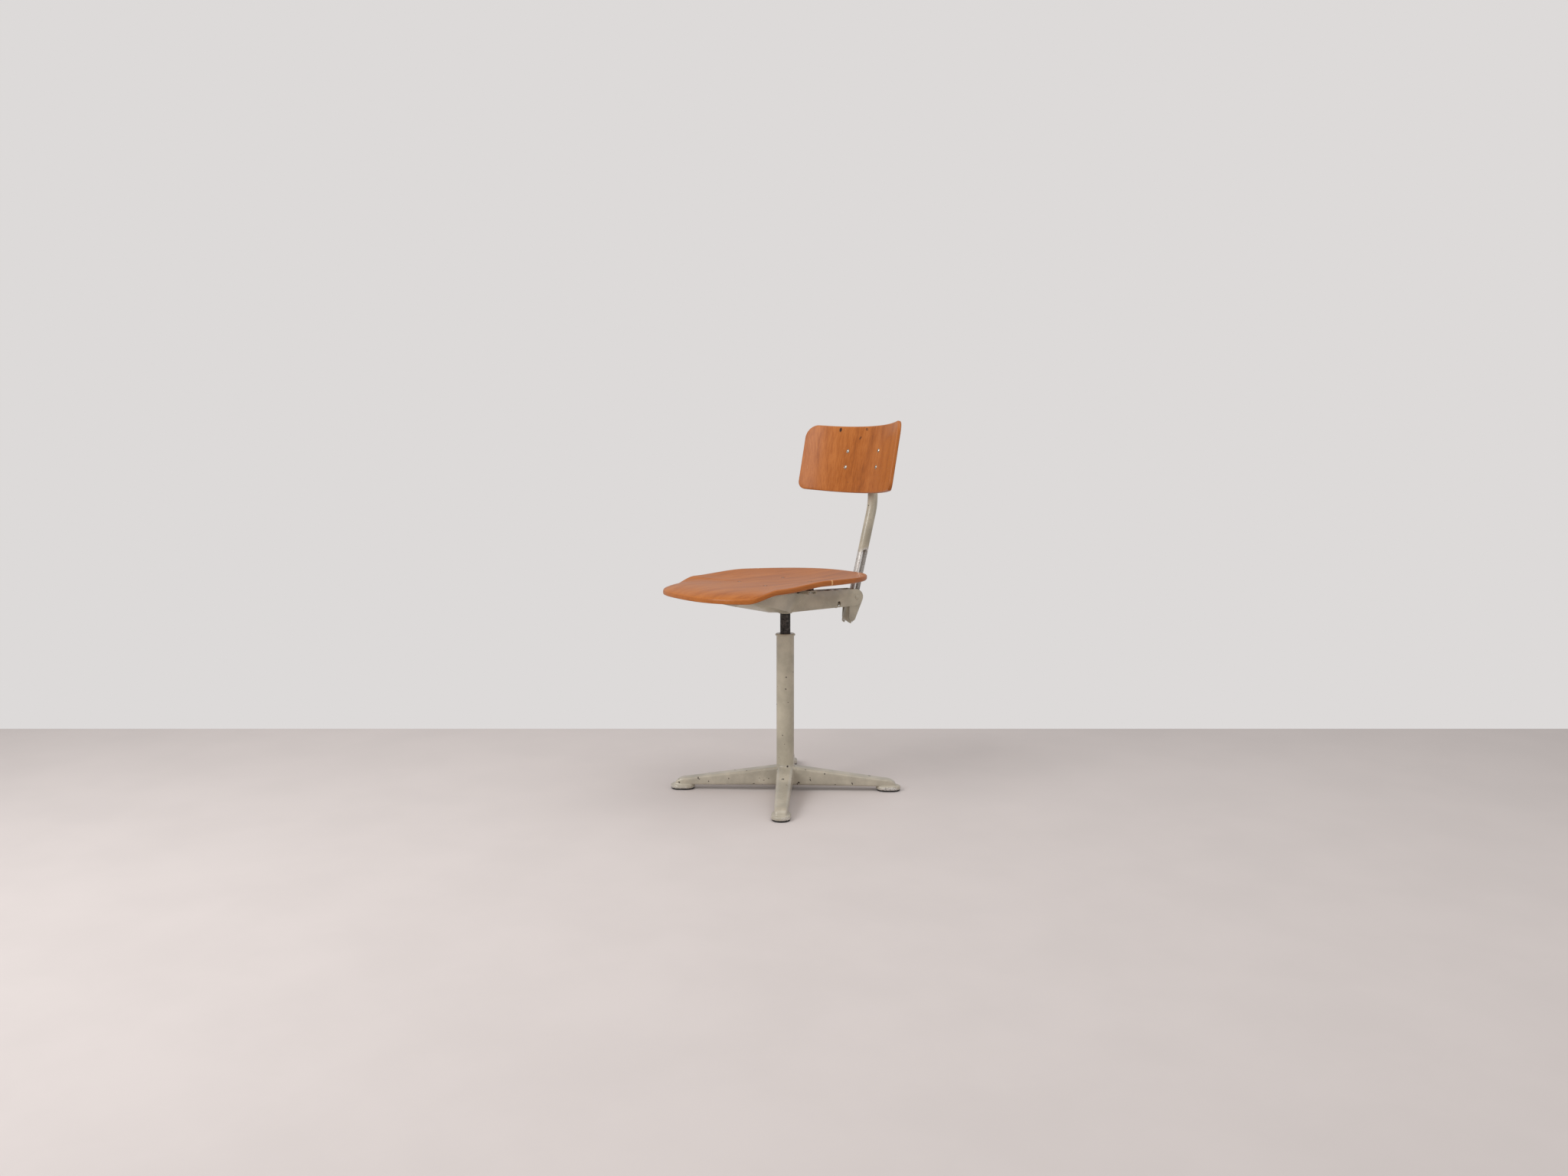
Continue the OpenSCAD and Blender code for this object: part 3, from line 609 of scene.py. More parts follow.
@dataclass(frozen=True)
class PlySheet:
    """The section of a ply sheet with a rounded rim, ring by ring from its upper to its lower middle."""

    thickness: float
    round: float
    rings: int
    rim_levels: tuple[int, ...]

    def profile(self) -> list[tuple[float, float, float]]:
        """Share of the way out, inset at the rim and depth of each ring."""
        shares = [0.01] + [k / self.rings for k in range(1, self.rings)]
        turns = [math.radians(a) for a in range(0, 91, 15)]
        bend = [(self.round * (1 - math.sin(a)), self.round * (1 - math.cos(a))) for a in turns]
        middle = [(0.0, self.thickness * k / 8) for k in self.rim_levels]
        lower = [(inset, self.thickness - depth) for inset, depth in reversed(bend)]
        return ([(share, self.round, 0.0) for share in shares]
                + [(1.0, *point) for point in bend + middle + lower]
                + [(share, self.round, self.thickness) for share in reversed(shares)])

    def marks(self, bare: Callable[[float], float]) -> dict[str, Callable[[float, int], float]]:
        """The vertex attributes that the ply's finish reads.

        Args:
            bare: Wear of the rim, from the turn round it.

        Returns:
            The attributes depth, rim and bare, as ring_body takes them.
        """
        rows = self.profile()
        return {
            "depth": lambda turn, ring: rows[ring][2] / self.thickness,
            "rim": lambda turn, ring: float(rows[ring][0] == 1.0 and rows[ring][1] < self.round * 0.8),
            "bare": lambda turn, ring: bare(turn) if rows[ring][0] == 1.0 else 0.0}


def worn_at(nicks: Iterable[Nick], x: float, y: float, stretch: float = 1.0) -> tuple[float, float]:
    """The wear at a point of a rim.

    Args:
        nicks: Place, size and depth of each nick, in millimetres.
        x: The point's first coordinate.
        y: The point's second coordinate.
        stretch: How many times longer the nicks are along x.

    Returns:
        How bare the ply is, from 0 to 1, and how much of the rim is gone, in millimetres.
    """
    bare = gone = 0.0
    for nick_x, nick_y, size, deep in nicks:
        near = math.exp(-((x - nick_x) ** 2 / (size * stretch) ** 2 + (y - nick_y) ** 2 / size ** 2))
        bare, gone = max(bare, near), max(gone, deep * near)
    return bare, gone


def softened(node: str, width: float, degrees: float = 25.0) -> bpy.types.Object:
    """A copy of a CAD node with its edges rounded.

    Args:
        node: The CAD node.
        width: Width of the rounding, in millimetres.
        degrees: Least angle of an edge that is rounded.

    Returns:
        The new piece; its rounded faces have the edge attribute at 1.
    """
    piece = copied(frame["nodes"][node], f"{node}_finished", Matrix())
    piece.data.materials.clear()
    with editing(piece):
        bpy.ops.mesh.customdata_custom_splitnormals_clear()
        bpy.ops.mesh.remove_doubles(threshold=0.000002)
        bpy.ops.mesh.dissolve_limited(angle_limit=math.radians(0.6))
    for material in (None, None):
        piece.data.materials.append(material)
    for face in piece.data.polygons:
        face.material_index = 0
    finish(piece, "BEVEL", width=width * MM, segments=2, limit_method="ANGLE",
           angle_limit=math.radians(degrees), material=1, use_clamp_overlap=True)
    rounded = [float(face.material_index) for face in piece.data.polygons]
    piece.data.attributes.new("edge", "FLOAT", "FACE").data.foreach_set("value", rounded)
    for face in piece.data.polygons:
        face.material_index = 0
    piece.data.materials.clear()
    smooth(piece, 30.0)
    return piece


class Workshop:
    """Holds each finish once and dresses pieces in it."""

    def __init__(self) -> None:
        """Mixes every finish that the chair uses."""
        enamel = tone(178, 170, 150)
        cast = tone(176, 168, 151)
        self.finishes: dict[Slot, bpy.types.Material] = {
            Slot.PAINT: Enamel("enamel", enamel).material(),
            Slot.CAST: Enamel("cast_enamel", cast, 0.0011, 0.705, 0.4).material(),
            Slot.STEEL: Steel("plated_steel", tone(196, 192, 184), tone(96, 84, 70), 0.25, 0.26).material(),
            Slot.SPINDLE: Steel("greased_steel", tone(96, 90, 86), tone(30, 26, 24), 0.62, 0.30).material(),
            Slot.PLY: Ply("seat_ply", (0, 1, 0)).material(),
            Slot.GLIDE: Moulded("glide_rubber", tone(30, 28, 27)).material(),
            Slot.FIBRE: Moulded("spacer_fibre", tone(54, 42, 34), 0.8).material(),
        }
        self.back_ply = Ply("back_ply", (0, 0, 1), knot=(-0.0889, 0.2028, 0.7814)).material()
        self.worn = Enamel("worn_enamel", enamel, bare_top=0.515).material()
        self.slots = {part["node"]: Slot(part["material_slot"])
                      for part in frame["record"]["subparts"]}

    def dress(self, piece: bpy.types.Object, body: str, slot: Slot, nodes: Iterable[str],
              material: bpy.types.Material | None = None) -> None:
        """Gives a piece its finish and its body, and hides the CAD nodes that it stands for.

        Args:
            piece: The finished mesh.
            body: The body that it rides on.
            slot: The record's slot.
            nodes: The CAD nodes that it replaces.
            material: A finish to use in place of the slot's own.
        """
        piece.data.materials.clear()
        piece.data.materials.append(material or self.finishes[slot])
        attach(piece, body)
        nodes = tuple(nodes)
        if nodes:
            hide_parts(*nodes)
        log.info("%s: %d faces on %s", piece.name, len(piece.data.polygons), body)

    def round_off(self, body: str, widths: dict[str, float]) -> None:
        """Dresses CAD nodes with their edges rounded.

        Args:
            body: The body that they ride on.
            widths: Width of the rounding by node, in millimetres.
        """
        for node, width in widths.items():
            self.dress(softened(node, width), body, self.slots[node], [node])

    def coat_nodes(self) -> None:
        """Puts each slot's finish on the CAD nodes themselves."""
        for name, node in frame["nodes"].items():
            node.data.materials.clear()
            node.data.materials.append(self.finishes[self.slots[name]])


# --- Sub-assemblies ---


@dataclass
class StarBase:
    """Four cast legs on a hub, with their glides."""

    turn: float = 56.15
    reach: float = 250.0
    root_top: float = 55.0
    knee: float = 212.0
    knee_top: float = 26.0
    root_width: float = 35.0
    knee_width: float = 28.0
    root_under: float = 12.0
    knee_under: float = 10.0
    toe_length: float = 53.0
    toe_width: float = 39.5
    toe_top: float = 11.0
    nose_width: float = 17.0
    nose_short: float = 10.0
    glide: float = 3.0
    column: float = 19.0
    voxel: float = 1.25
    corner: float = 2.4

    def section(self, at: float) -> tuple[float, float, float]:
        """Width, top and underside of a leg at a distance from the column's axis."""
        share = min(at / self.knee, 1.0)
        width = self.root_width + (self.knee_width - self.root_width) * share
        top = self.root_top + (self.knee_top - self.root_top) * share
        under = self.root_under + (self.knee_under - self.root_under) * share
        if at > self.knee:
            past = (at - self.knee) / (self.reach - self.nose_short - self.knee)
            fall = math.sqrt(max(0.0, 1 - past * past))
            width = self.nose_width + (width - self.nose_width) * fall
            top = self.toe_top + 0.5 + (top - self.toe_top - 0.5) * fall
            under = self.glide + 3.0
        return width, top, under

    def leg(self) -> bpy.types.Object:
        """One leg along +X, from the hub to its rounded nose."""
        stations = [8.0, 60.0, 120.0, 180.0, self.knee, self.knee + 1.0]
        nose = self.reach - self.nose_short - self.knee
        stations += [self.knee + nose * math.sin(math.radians(a)) for a in range(15, 90, 10)]
        def place(turn: float, ring: int) -> tuple[float, float, float]:
            """One point of the leg's rounded section."""
            at = stations[ring]
            width, top, under = self.section(at)
            a = turn * math.tau
            flat = (abs(math.cos(a)) ** 6 + abs(math.sin(a)) ** 6) ** (-1 / 6)
            y = math.cos(a) * flat * width / 2
            z = (top + under) / 2 + math.sin(a) * flat * (top - under) / 2
            over = max(0.0, abs(y) - (width / 2 - self.corner)), max(0.0, z - (top - self.corner))
            far = math.hypot(*over)
            if far > self.corner:
                pull = self.corner / far
                y = math.copysign(width / 2 - self.corner + over[0] * pull, y)
                z = top - self.corner + over[1] * pull
            return (at, y, z)

        leg = ring_body("leg", 48, len(stations), place)
        half = (self.toe_length - self.toe_width) / 2
        centre = self.reach - self.toe_length / 2

        def pad(turn: float, ring: int) -> tuple[float, float, float]:
            """One point of the toe's oblong pad."""
            inset, height = ((0.6, self.glide), (0.0, self.glide + 0.6), (0.0, self.toe_top - 3.0),
                             (0.9, self.toe_top - 0.9), (3.0, self.toe_top))[ring]
            a = turn * math.tau
            radius = self.toe_width / 2 - inset
            return (centre + math.copysign(half, math.cos(a)) + radius * math.cos(a),
                    radius * math.sin(a), height)

        return joined("leg", [leg, ring_body("toe", 64, 5, pad)])

    def build(self, shop: Workshop) -> None:
        """Casts the star in one and puts a glide under each toe."""
        first = self.leg()
        legs = [copied(first, f"leg_{k}", Matrix.Rotation(math.radians(self.turn + 90 * k), 4, "Z"))
                for k in range(4)]
        bpy.data.objects.remove(first)
        hub = lathe("hub", 96, [(self.column - 4, 11.0), (self.column + 1.2, 11.0),
                                (self.column + 1.4, 46.0), (self.column + 0.5, 56.0),
                                (self.column - 1.0, 60.0), (self.column - 4, 60.0)])
        star = joined("star_base", [*legs, hub])
        finish(star, "REMESH", mode="VOXEL", voxel_size=self.voxel * MM)
        finish(star, "SMOOTH", factor=0.5, iterations=3)
        crests(star, 3.2)
        take(star)
        bpy.ops.object.shade_smooth()
        shop.dress(star, "base", Slot.CAST, [f"leg_{k}" for k in range(1, 5)])
        shop.round_off("base", {f"glide_{k}": 0.8 for k in range(1, 5)})


@dataclass
class Column:
    """The painted column with its rolled collar, and what shows inside it."""

    radius: float = 19.0
    foot: float = 12.0
    top: float = 342.0
    collar: float = 21.5
    bead: float = 2.6
    bore: float = 12.0
    inside: float = 16.5

    def build(self, shop: Workshop) -> None:
        """Turns the tube and collar as one skin."""
        centre = (self.collar - self.bead, self.top - self.bead)
        neck = self.top - 2 * self.bead - 0.6
        outline = [(self.inside, self.foot), (self.radius - 1, self.foot), (self.radius, self.foot + 1)]
        outline += [(self.radius, self.foot + (neck - self.foot) * k / 6) for k in range(1, 7)]
        outline += arc(centre, self.bead, -80, 90, 12)
        outline += [(self.bore + 0.8, self.top), (self.bore, self.top - 0.8),
                    (self.bore, self.top - self.bead), (self.inside, self.top - self.bead)]
        outline.append(outline[0])
        tube = lathe("column", 96, outline, hollow=True)
        smooth(tube, 40)
        shop.dress(tube, "base", Slot.PAINT, ["column_tube", "column_collar"])


@dataclass
class Spindle:
    """The lifting spindle: smooth above, a round-crested thread below."""

    radius: float = 11.0
    foot: float = 183.3
    top: float = 428.0
    thread_foot: float = 187.0
    thread_top: float = 333.0
    pitch: float = 6.0
    depth: float = 1.3
    levels_per_turn: int = 8

    def build(self, shop: Workshop) -> None:
        """Cuts the thread into the spindle's lower part."""
        count = int((self.thread_top - self.thread_foot) / self.pitch * self.levels_per_turn)
        rise = self.pitch / self.levels_per_turn
        heights = [self.foot, self.foot + 1.5, self.thread_foot]
        heights += [self.thread_foot + rise * k for k in range(1, count + 1)]
        heights += [self.thread_top + 3, self.thread_top + 8, self.top - 1, self.top]

        def place(turn: float, ring: int) -> tuple[float, float, float]:
            """One point of the spindle."""
            z = heights[ring]
            radius = self.radius - (1.5 if ring == 0 else 0.0) - (0.6 if z == self.top else 0.0)
            if self.thread_foot <= z <= self.thread_top:
                fade = min(1.0, (z - self.thread_foot) / 3, (self.thread_top - z) / 3)
                wave = math.cos(math.tau * (z / self.pitch - turn))
                radius -= self.depth * fade * (0.5 - 0.5 * max(-1.0, min(1.0, 1.5 * wave)))
            return turned(turn, radius, z)

        spindle = ring_body("spindle_screw", 48, len(heights), place)
        smooth(spindle, 50)
        shop.dress(spindle, "seat", Slot.SPINDLE, ["spindle"])


@dataclass
class Pressings:
    """Pressed and turned steel on one body, taken from the CAD with folds and edges rounded."""

    body: str
    widths: dict[str, float]

    def build(self, shop: Workshop) -> None:
        """Rounds each one."""
        shop.round_off(self.body, self.widths)


CARRIER = Pressings("seat", {
    "carrier_channel": 0.9, "front_tray": 1.6, "tray_plate": 0.8, "rear_crossbar": 1.0,
    "spring_abutment": 0.4, "upper_pin": 0.4, "upper_sleeve": 0.3, "spring_bolt": 0.4,
    **{f"seat_spacer_{k}": 0.5 for k in range(1, 5)}})
ROCKER = Pressings("rocker", {"rocker": 0.8, "lower_pin": 0.4, "lower_sleeve": 0.3})


@dataclass
class BackSpring:
    """The coil spring that holds the rocker down."""

    radius: float = 7.0
    wire: float = 1.3
    y: float = 131.0
    turns: int = 6
    top: float = 426.5
    foot: float = 400.5
    squeezed: float = 0.76

    def build(self, shop: Workshop) -> None:
        """Winds the wire."""
        bpy.ops.object.select_all(action="DESELECT")
        bpy.ops.mesh.primitive_circle_add(
            vertices=14, radius=self.wire * MM, fill_type="NOTHING",
            location=(self.radius * MM, 0, (self.foot + self.wire) * MM),
            rotation=(math.radians(90), 0, 0))
        coil = newest("coil_spring")
        lead = (self.top - self.foot - 2 * self.wire) / self.turns
        finish(coil, "SCREW", angle=math.tau, screw_offset=lead * MM, iterations=self.turns,
               steps=36, render_steps=36, axis="Z")
        with editing(coil, everything=False):
            bpy.ops.mesh.select_mode(type="EDGE")
            bpy.ops.mesh.select_non_manifold()
            bpy.ops.mesh.fill()
        coil.data.transform(Matrix.Translation((0, self.y * MM, 0)))
        close_up(coil)
        smooth(coil, 60)
        shop.dress(coil, "seat", Slot.STEEL, ["back_spring"])
        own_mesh(coil)


@dataclass
class SlottedScrew:
    """A domed, slotted screw with its shank and hexagon nut, drawn point up along +Z."""

    head: float
    dome: float
    shank: float
    length: float
    nut: float
    nut_height: float
    nut_at: float
    slot_width: float = 1.3
    slot_height: float = 1.9

    def model(self) -> bpy.types.Object:
        """The screw with its head at the top, its dome's base at z = 0."""
        ball = (self.head ** 2 + self.dome ** 2) / (2 * self.dome)
        edge = math.degrees(math.asin(self.head / ball))
        outline = [(self.shank * 0.7, -self.length), (self.shank, -self.length + 0.8), (self.shank, 0)]
        outline += [(self.head - 0.4, 0), (self.head, 0.25)]
        outline += arc((0, self.dome - ball), ball, 90 - edge * 0.95, 89, 8)
        body = lathe("screw", 32, outline)
        bpy.ops.object.select_all(action="DESELECT")
        bpy.ops.mesh.primitive_cube_add(size=1, location=(0, 0, self.dome * MM))
        slot = bpy.context.object
        slot.scale = (self.head * 2.2 * MM, self.slot_width * MM, self.slot_height * MM)
        slot = newest("slot")
        cut(body, slot)
        bpy.ops.mesh.primitive_cylinder_add(
            vertices=6, radius=self.nut * MM, depth=self.nut_height * MM,
            location=(0, 0, -(self.nut_at + self.nut_height / 2) * MM))
        nut = newest("nut")
        finish(nut, "BEVEL", width=0.45 * MM, segments=2, limit_method="ANGLE")
        whole = joined("screw", [body, nut])
        smooth(whole, 35)
        return whole


@dataclass
class SeatShell:
    """The moulded ply seat: dished, rolled down in front, with its rim rounded."""

    mid_y: float = -40.0
    half_width: float = 174.0
    taper: float = 0.0007
    front: float = 214.0
    rear: float = 205.0
    front_power: float = 2.6
    rear_power: float = 2.85
    height: float = 453.5
    rim_front: float = 440.0
    rim_step: float = 18.5
    rim_rear_step: float = 11.5
    dish: float = 1.8
    roll: float = 9.0
    thickness: float = 11.0
    round: float = 3.8
    spokes: int = 320
    rings: int = 32
    head: float = 4.5
    dome: float = 1.8
    head_gap: float = 0.2
    nick_stretch: float = 1.6
    nicks: tuple[Nick, ...] = (
        (172.0, 5.0, 1.5, 0.7), (168.0, -185.0, 2.2, 0.8), (-168.0, 30.0, 2.0, 0.5),
        (70.0, 160.0, 2.0, 0.4))

    @staticmethod
    def ease(t: float) -> float:
        """Smooth step from 0 to 1."""
        u = min(1.0, max(0.0, t))
        return u * u * (3 - 2 * u)

    def rim_z(self, y: float) -> float:
        """Height of the rim's upper edge."""
        return (self.rim_front + self.rim_step * (1 - self.ease((-y - 125) / 65))
                + self.rim_rear_step * (1 - self.ease(-y / 135)))

    def side(self, forward: float) -> tuple[float, float]:
        """Reach and roundness of the outline ahead of the middle or behind it."""
        return (self.front, self.front_power) if forward > 0 else (self.rear, self.rear_power)

    def edge(self, turn: float) -> tuple[float, float]:
        """The outline's point in one direction; 0 is the left side, a quarter turn the front."""
        c, s = math.cos(turn * math.tau), math.sin(turn * math.tau)
        reach, power = self.side(s)
        far = (abs(c / self.half_width) ** power + abs(s / reach) ** power) ** (-1 / power)
        y = self.mid_y - far * s
        return (far * c * (1 - self.taper * y), y)

    def top_z(self, x: float, y: float) -> float:
        """Height of the upper face."""
        s = self.mid_y - y
        reach, power = self.side(s)
        wide = self.half_width * (1 - self.taper * y)
        rho = max(1e-4, (abs(x / wide) ** power + abs(s / reach) ** power) ** (1 / power))
        edge_y = self.mid_y + (y - self.mid_y) / rho
        rise = self.rim_z(edge_y) - self.height
        return self.height + rise * min(rho, 1.02) ** (self.roll if rise < 0 else self.dish)

    def build(self, shop: Workshop) -> None:
        """Moulds the shell, sinks the screw holes and sets the four screws."""
        sheet = PlySheet(self.thickness, self.round, self.rings, (3, 4, 5))
        profile = sheet.profile()

        def wear(turn: float) -> tuple[float, float]:
            """Bareness and loss of the rim in one direction."""
            return worn_at(self.nicks, *self.edge(turn), self.nick_stretch)

        def flat(turn: float, ring: int) -> tuple[float, float, float]:
            """Plan position and depth of one point."""
            share, inset, depth = profile[ring]
            x, y = self.edge(turn)
            far = math.hypot(x, y - self.mid_y)
            if share == 1.0:
                inset += wear(turn)[1] * math.sin(math.pi * min(1, depth / self.thickness + 0.25))
            part = share * (far - inset) / far
            return (x * part, self.mid_y + (y - self.mid_y) * part, depth)

        def place(turn: float, ring: int) -> tuple[float, float, float]:
            """One point of the moulded shell."""
            x, y, depth = flat(turn, ring)
            return (x, y, self.top_z(x, y) - depth)

        shell = ring_body("seat_ply", self.spokes, len(profile), place,
                          sheet.marks(lambda turn: wear(turn)[0]))
        for k in range(1, 5):
            low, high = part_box(f"seat_screw_{k}")
            centre = (low + high) / 2
            cutter = lathe("sink", 32, [(self.head + self.head_gap, high.z / MM - self.dome),
                                        (self.head + self.head_gap, high.z / MM + 5.0)])
            cutter.data.transform(Matrix.Translation((centre.x, centre.y, 0)))
            cut(shell, cutter)
        smooth(shell, 40)
        shop.dress(shell, "seat", Slot.PLY, ["seat_shell"])
        for first in (1, 3):
            bottom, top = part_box(f"seat_screw_{first}")
            length = (top.z - bottom.z) / MM - self.dome
            screw = SlottedScrew(self.head, self.dome, 2.9, length, 5.0, 3.5, length - 4.0).model()
            for k in (first, first + 1):
                at_low, at_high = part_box(f"seat_screw_{k}")
                middle = (at_low + at_high) / 2
                move = Matrix.Translation((middle.x, middle.y, at_high.z - self.dome * MM))
                turned = move @ Matrix.Rotation(math.radians(37 * k + 20), 4, "Z")
                shop.dress(copied(screw, f"seat_bolt_{k}", turned), "seat", Slot.STEEL,
                           [f"seat_screw_{k}"])
            bpy.data.objects.remove(screw)


@dataclass
class Upright:
    """The bent, slotted tube that carries the back."""

    radius: float = 11.0
    wall: float = 2.0
    lean: float = 14.3
    pin_y: float = 165.737
    pin_z: float = 367.313
    foot: float = 10.0
    corner_at: float = 255.0
    bend: float = 150.0
    pivot_z: float = 703.412
    over: float = 10.0
    slot: float = 6.7
    slot_top: float = 146.0

    def stations(self, foot: float, over: float) -> list[tuple[float, float, float]]:
        """The centre line's y, z and lean at each ring."""
        lean = math.radians(self.lean)
        corner_y = self.pin_y + self.corner_at * math.sin(lean)
        corner_z = self.pin_z + self.corner_at * math.cos(lean)
        tangent = self.bend * math.tan(lean / 2)
        line = [(self.pin_y - foot * math.sin(lean), self.pin_z - foot * math.cos(lean), lean)]
        for k in range(21):
            turn = lean * (1 - k / 20)
            line.append((corner_y - self.bend * (1 - math.cos(turn)),
                         corner_z + tangent - self.bend * math.sin(turn), turn))
        line.append((corner_y, self.pivot_z + self.over + over, 0.0))
        return line

    def rod(self, name: str, radius: float, foot: float, over: float) -> bpy.types.Object:
        """A solid rod along the centre line."""
        line = self.stations(foot, over)

        def place(turn: float, ring: int) -> tuple[float, float, float]:
            """One point of the rod."""
            y, z, lean = line[ring]
            across = radius * math.cos(turn * math.tau)
            return (radius * math.sin(turn * math.tau), y + across * math.cos(lean),
                    z - across * math.sin(lean))

        return ring_body(name, 64, len(line), place)

    def slot_cutter(self) -> bpy.types.Object:
        """The long slot's body, right through the tube."""
        def place(turn: float, ring: int) -> tuple[float, float, float]:
            """One point of the slot's outline."""
            a = turn * math.tau
            along = self.slot * math.sin(a) + (self.slot_top if math.sin(a) >= 0 else 0.0)
            return ((-30.0, 30.0)[ring], self.slot * math.cos(a), along)

        cutter = ring_body("slot_cutter", 64, 2, place)
        lean = Matrix.Rotation(math.radians(-self.lean), 4, "X")
        cutter.data.transform(Matrix.Translation((0, self.pin_y * MM, self.pin_z * MM)) @ lean)
        return cutter

    def build(self, shop: Workshop) -> None:
        """Bends the tube, bores it and cuts the slot."""
        tube = self.rod("upright_bent_tube", self.radius, self.foot, 0.0)
        cut(tube, self.rod("bore", self.radius - self.wall, self.foot + 1, 1.0))
        cut(tube, self.slot_cutter())
        finish(tube, "BEVEL", width=0.35 * MM, segments=2, limit_method="ANGLE",
               angle_limit=math.radians(40))
        smooth(tube, 32)
        shop.dress(tube, "upright", Slot.PAINT, ["upright_tube"], shop.worn)
        shop.round_off("upright", {"upright_cap": 0.4, "tilt_bolt": 0.5})


@dataclass
class Backrest:
    """The curved ply panel on its strap and ears."""

    width: float = 368.0
    height: float = 149.0
    thickness: float = 8.0
    bend: float = 332.0
    corner_top: float = 32.0
    corner_low: float = 17.0
    round: float = 2.6
    lean: float = 10.4
    pivot_y: float = 228.722
    pivot_z: float = 703.412
    pivot_back: float = 27.5
    pivot_drop: float = 6.0
    screw_x: float = 58.0
    screw_z: float = 18.0
    head_gap: float = 0.06
    rings: int = 18
    nicks: tuple[Nick, ...] = (
        (150.0, -70.0, 3.5, 0.8), (183.0, 20.0, 2.5, 0.5), (-120.0, -74.0, 2.0, 0.5))

    def panel_frame(self) -> Matrix:
        """Places the panel's own frame, whose origin is the middle of the front face."""
        return (Matrix.Translation((0, self.pivot_y * MM, self.pivot_z * MM))
                @ Matrix.Rotation(math.radians(-self.lean), 4, "X")
                @ Matrix.Translation((0, -self.pivot_back * MM, self.pivot_drop * MM)))

    def outline(self) -> list[tuple[float, float, float, float]]:
        """Flat outline points with their outward directions, once round."""
        half_w, half_h = self.width / 2, self.height / 2
        corners = [(half_w - self.corner_top, half_h - self.corner_top, self.corner_top, 0),
                   (-half_w + self.corner_top, half_h - self.corner_top, self.corner_top, 90),
                   (-half_w + self.corner_low, -half_h + self.corner_low, self.corner_low, 180),
                   (half_w - self.corner_low, -half_h + self.corner_low, self.corner_low, 270)]
        straight = (60, 16, 60, 16)
        points = []
        for k, (x, z, radius, start) in enumerate(corners):
            for step in range(17):
                a = math.radians(start + 90 * step / 16)
                points.append((x + radius * math.cos(a), z + radius * math.sin(a),
                               math.cos(a), math.sin(a)))
            end = points[-1]
            next_x, next_z, next_r, next_start = corners[(k + 1) % 4]
            a = math.radians(next_start)
            goal = (next_x + next_r * math.cos(a), next_z + next_r * math.sin(a))
            for step in range(1, straight[k]):
                share = step / straight[k]
                points.append((end[0] + (goal[0] - end[0]) * share,
                               end[1] + (goal[1] - end[1]) * share, math.cos(a), math.sin(a)))
        return points

    def build(self, shop: Workshop) -> None:
        """Bends the panel and sets its screws, strap and ears."""
        points = self.outline()
        sides = len(points)
        sheet = PlySheet(self.thickness, self.round, self.rings, (4,))
        profile = sheet.profile()

        def wear(turn: float) -> tuple[float, float]:
            """Bareness and loss of the rim at one outline point."""
            x, z, *_ = points[round(turn * sides) % sides]
            return worn_at(self.nicks, x, z)

        def place(turn: float, ring: int) -> tuple[float, float, float]:
            """One point of the panel, bent round its axis."""
            share, inset, depth = profile[ring]
            x, z, out_x, out_z = points[round(turn * sides) % sides]
            if share == 1.0:
                inset += wear(turn)[1]
            x, z = (x - out_x * inset) * share, (z - out_z * inset) * share
            a, radius = x / self.bend, self.bend + depth
            return (radius * math.sin(a), radius * math.cos(a) - self.bend, z)

        panel = ring_body("back_ply_panel", sides, len(profile), place,
                          sheet.marks(lambda turn: wear(turn)[0]))
        panel.data.transform(self.panel_frame())
        smooth(panel, 40)
        shop.dress(panel, "backrest", Slot.PLY, ["back_panel"], shop.back_ply)
        screw = SlottedScrew(4.2, 2.0, 2.9, 17.0, 5.2, 4.5, 11.06).model()
        for k in range(4):
            turn = (1 if k % 2 == 0 else -1) * self.screw_x / self.bend
            level = self.screw_z if k < 2 else -self.screw_z
            move = (self.panel_frame()
                    @ Matrix.Translation((0, -self.bend * MM, level * MM))
                    @ Matrix.Rotation(-turn, 4, "Z")
                    @ Matrix.Translation((0, (self.bend - self.head_gap) * MM, 0))
                    @ Matrix.Rotation(math.radians(90), 4, "X") @ Matrix.Rotation(0.7 + 1.9 * k, 4, "Z"))
            shop.dress(copied(screw, f"back_bolt_{k + 1}", move), "backrest", Slot.STEEL,
                       [f"back_screw_{k + 1}"])
        bpy.data.objects.remove(screw)
        shop.round_off("backrest", dict.fromkeys(("back_strap", "back_ear_left", "back_ear_right"), 0.6))


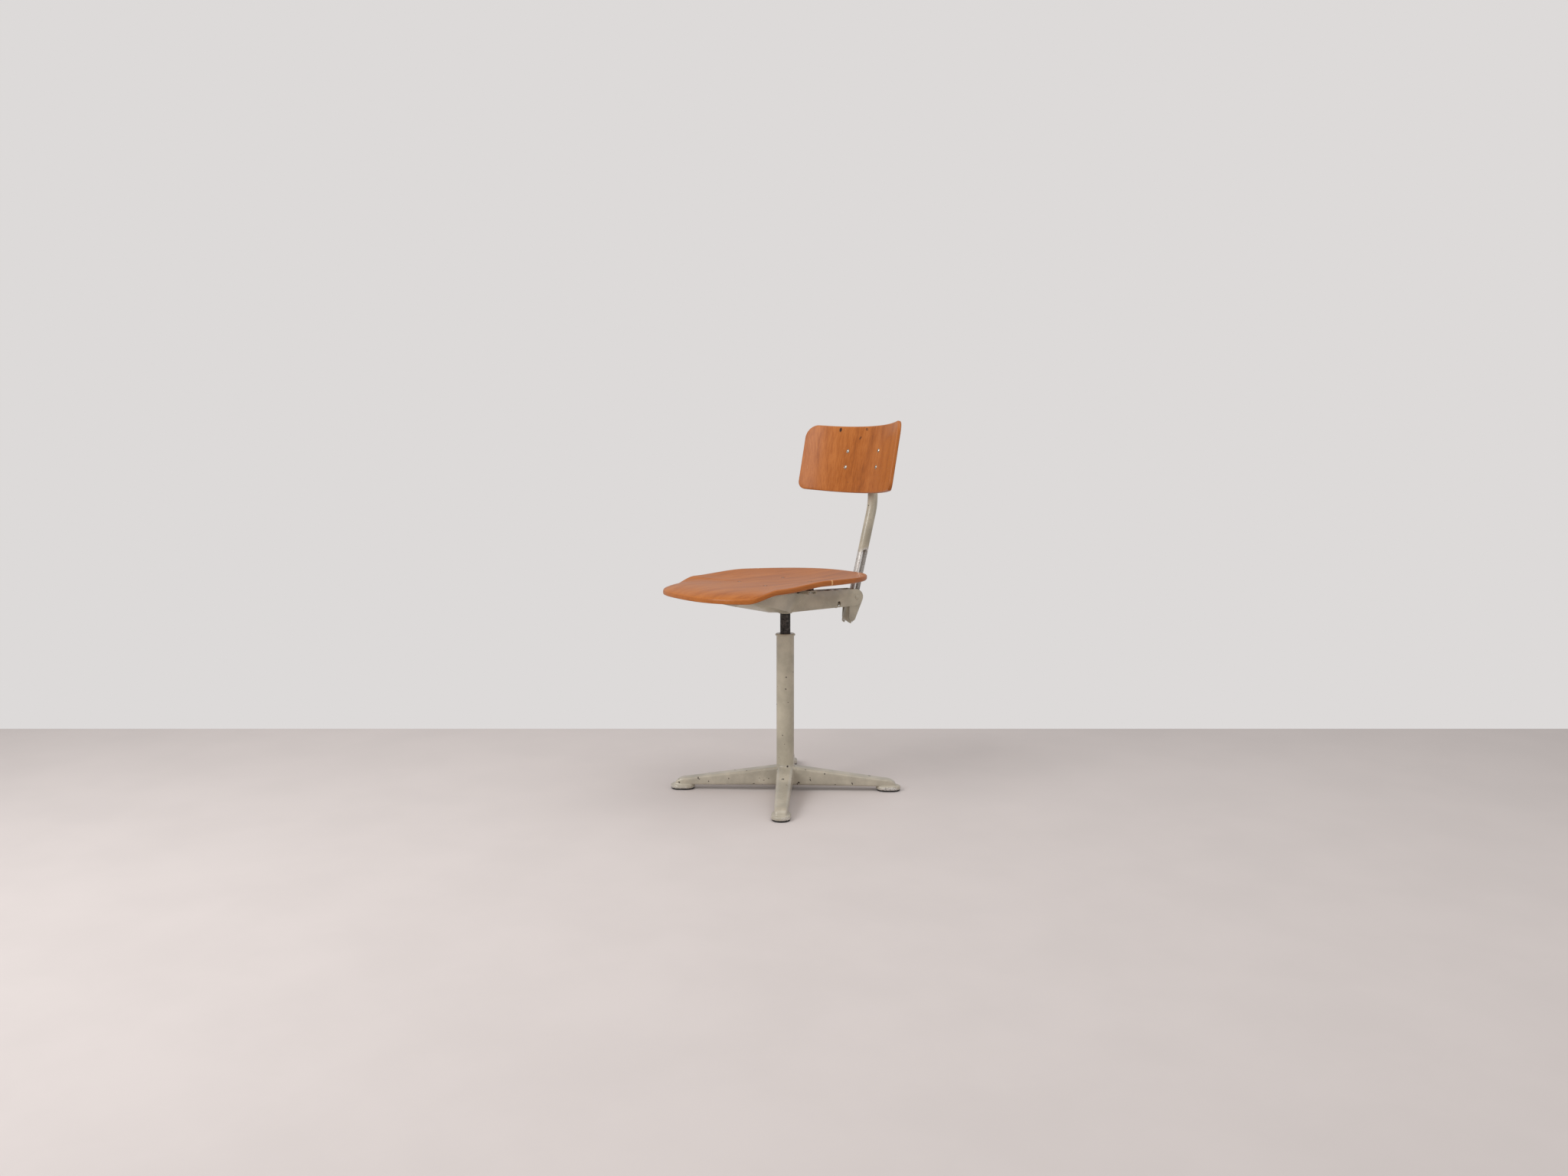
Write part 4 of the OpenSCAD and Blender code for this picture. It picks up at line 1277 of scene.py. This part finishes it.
@dataclass
class Studio:
    """Floor, soft lights and camera."""

    camera_at: tuple[float, float, float] = (2.1362, -1.3205, 0.691)
    azimuth: float = 58.34
    pitch: float = 5.714
    lens: float = 27.07
    sensor: float = 36.0
    floor_beyond: float = 0.60
    wall: Colour = tone(221, 218, 217)
    ambient: float = 0.72

    def lamp(self, name: str, at: tuple[float, float, float], size: float, watts: float) -> None:
        """One square soft light aimed at the seat."""
        bpy.ops.object.light_add(type="AREA", location=at)
        lamp = bpy.context.object
        lamp.name = name
        lamp.data.size = size
        lamp.data.energy = watts
        lamp.rotation_euler = (Vector((0, 0, 0.45)) - Vector(at)).to_track_quat("-Z", "Y").to_euler()

    def build(self) -> None:
        """Sets the studio up."""
        scene = bpy.context.scene
        scene.view_settings.view_transform = "Standard"
        world = bpy.data.worlds.new("studio")
        world.use_nodes = True
        tree = world.node_tree
        seen = tree.nodes["Background"]
        seen.inputs["Color"].default_value = (*self.wall, 1.0)
        lit = tree.nodes.new("ShaderNodeBackground")
        lit.inputs["Color"].default_value = (*self.wall, 1.0)
        lit.inputs["Strength"].default_value = self.ambient
        choice = tree.nodes.new("ShaderNodeMixShader")
        rays = tree.nodes.new("ShaderNodeLightPath")
        tree.links.new(rays.outputs["Is Camera Ray"], choice.inputs["Fac"])
        tree.links.new(lit.outputs["Background"], choice.inputs[1])
        tree.links.new(seen.outputs["Background"], choice.inputs[2])
        tree.links.new(choice.outputs["Shader"], tree.nodes["World Output"].inputs["Surface"])
        scene.world = world
        bpy.ops.object.select_all(action="DESELECT")
        span = 6.0
        bpy.ops.mesh.primitive_plane_add(size=span)
        floor = newest("floor")
        floor.data.transform(Matrix.Rotation(math.radians(self.azimuth), 4, "Z")
                             @ Matrix.Translation((0, self.floor_beyond - span / 2, 0)))
        floor.data.materials.append(Ground().material())
        self.lamp("key", (0.15, -2.3, 1.9), 1.5, 42.0)
        self.lamp("over", (0.6, 0.2, 2.6), 1.8, 16.0)
        self.lamp("fill", (2.4, 0.9, 1.3), 1.4, 6.0)
        bpy.ops.object.camera_add(location=self.camera_at,
                                  rotation=(math.radians(90 - self.pitch), 0, math.radians(self.azimuth)))
        camera = bpy.context.object
        camera.data.lens = self.lens
        camera.data.sensor_width = self.sensor
        scene.camera = camera


def main() -> None:
    """Builds the chair piece by piece and lights it."""
    logging.basicConfig(level=logging.INFO, format="%(name)s %(message)s")
    shop = Workshop()
    shop.coat_nodes()
    for assembly in (StarBase(), Column(), Spindle(), CARRIER, BackSpring(), SeatShell(),
                     ROCKER, Upright(), Backrest()):
        log.info("building %s", type(assembly).__name__)
        assembly.build(shop)
    Studio().build()


if __name__ == "__main__":
    main()
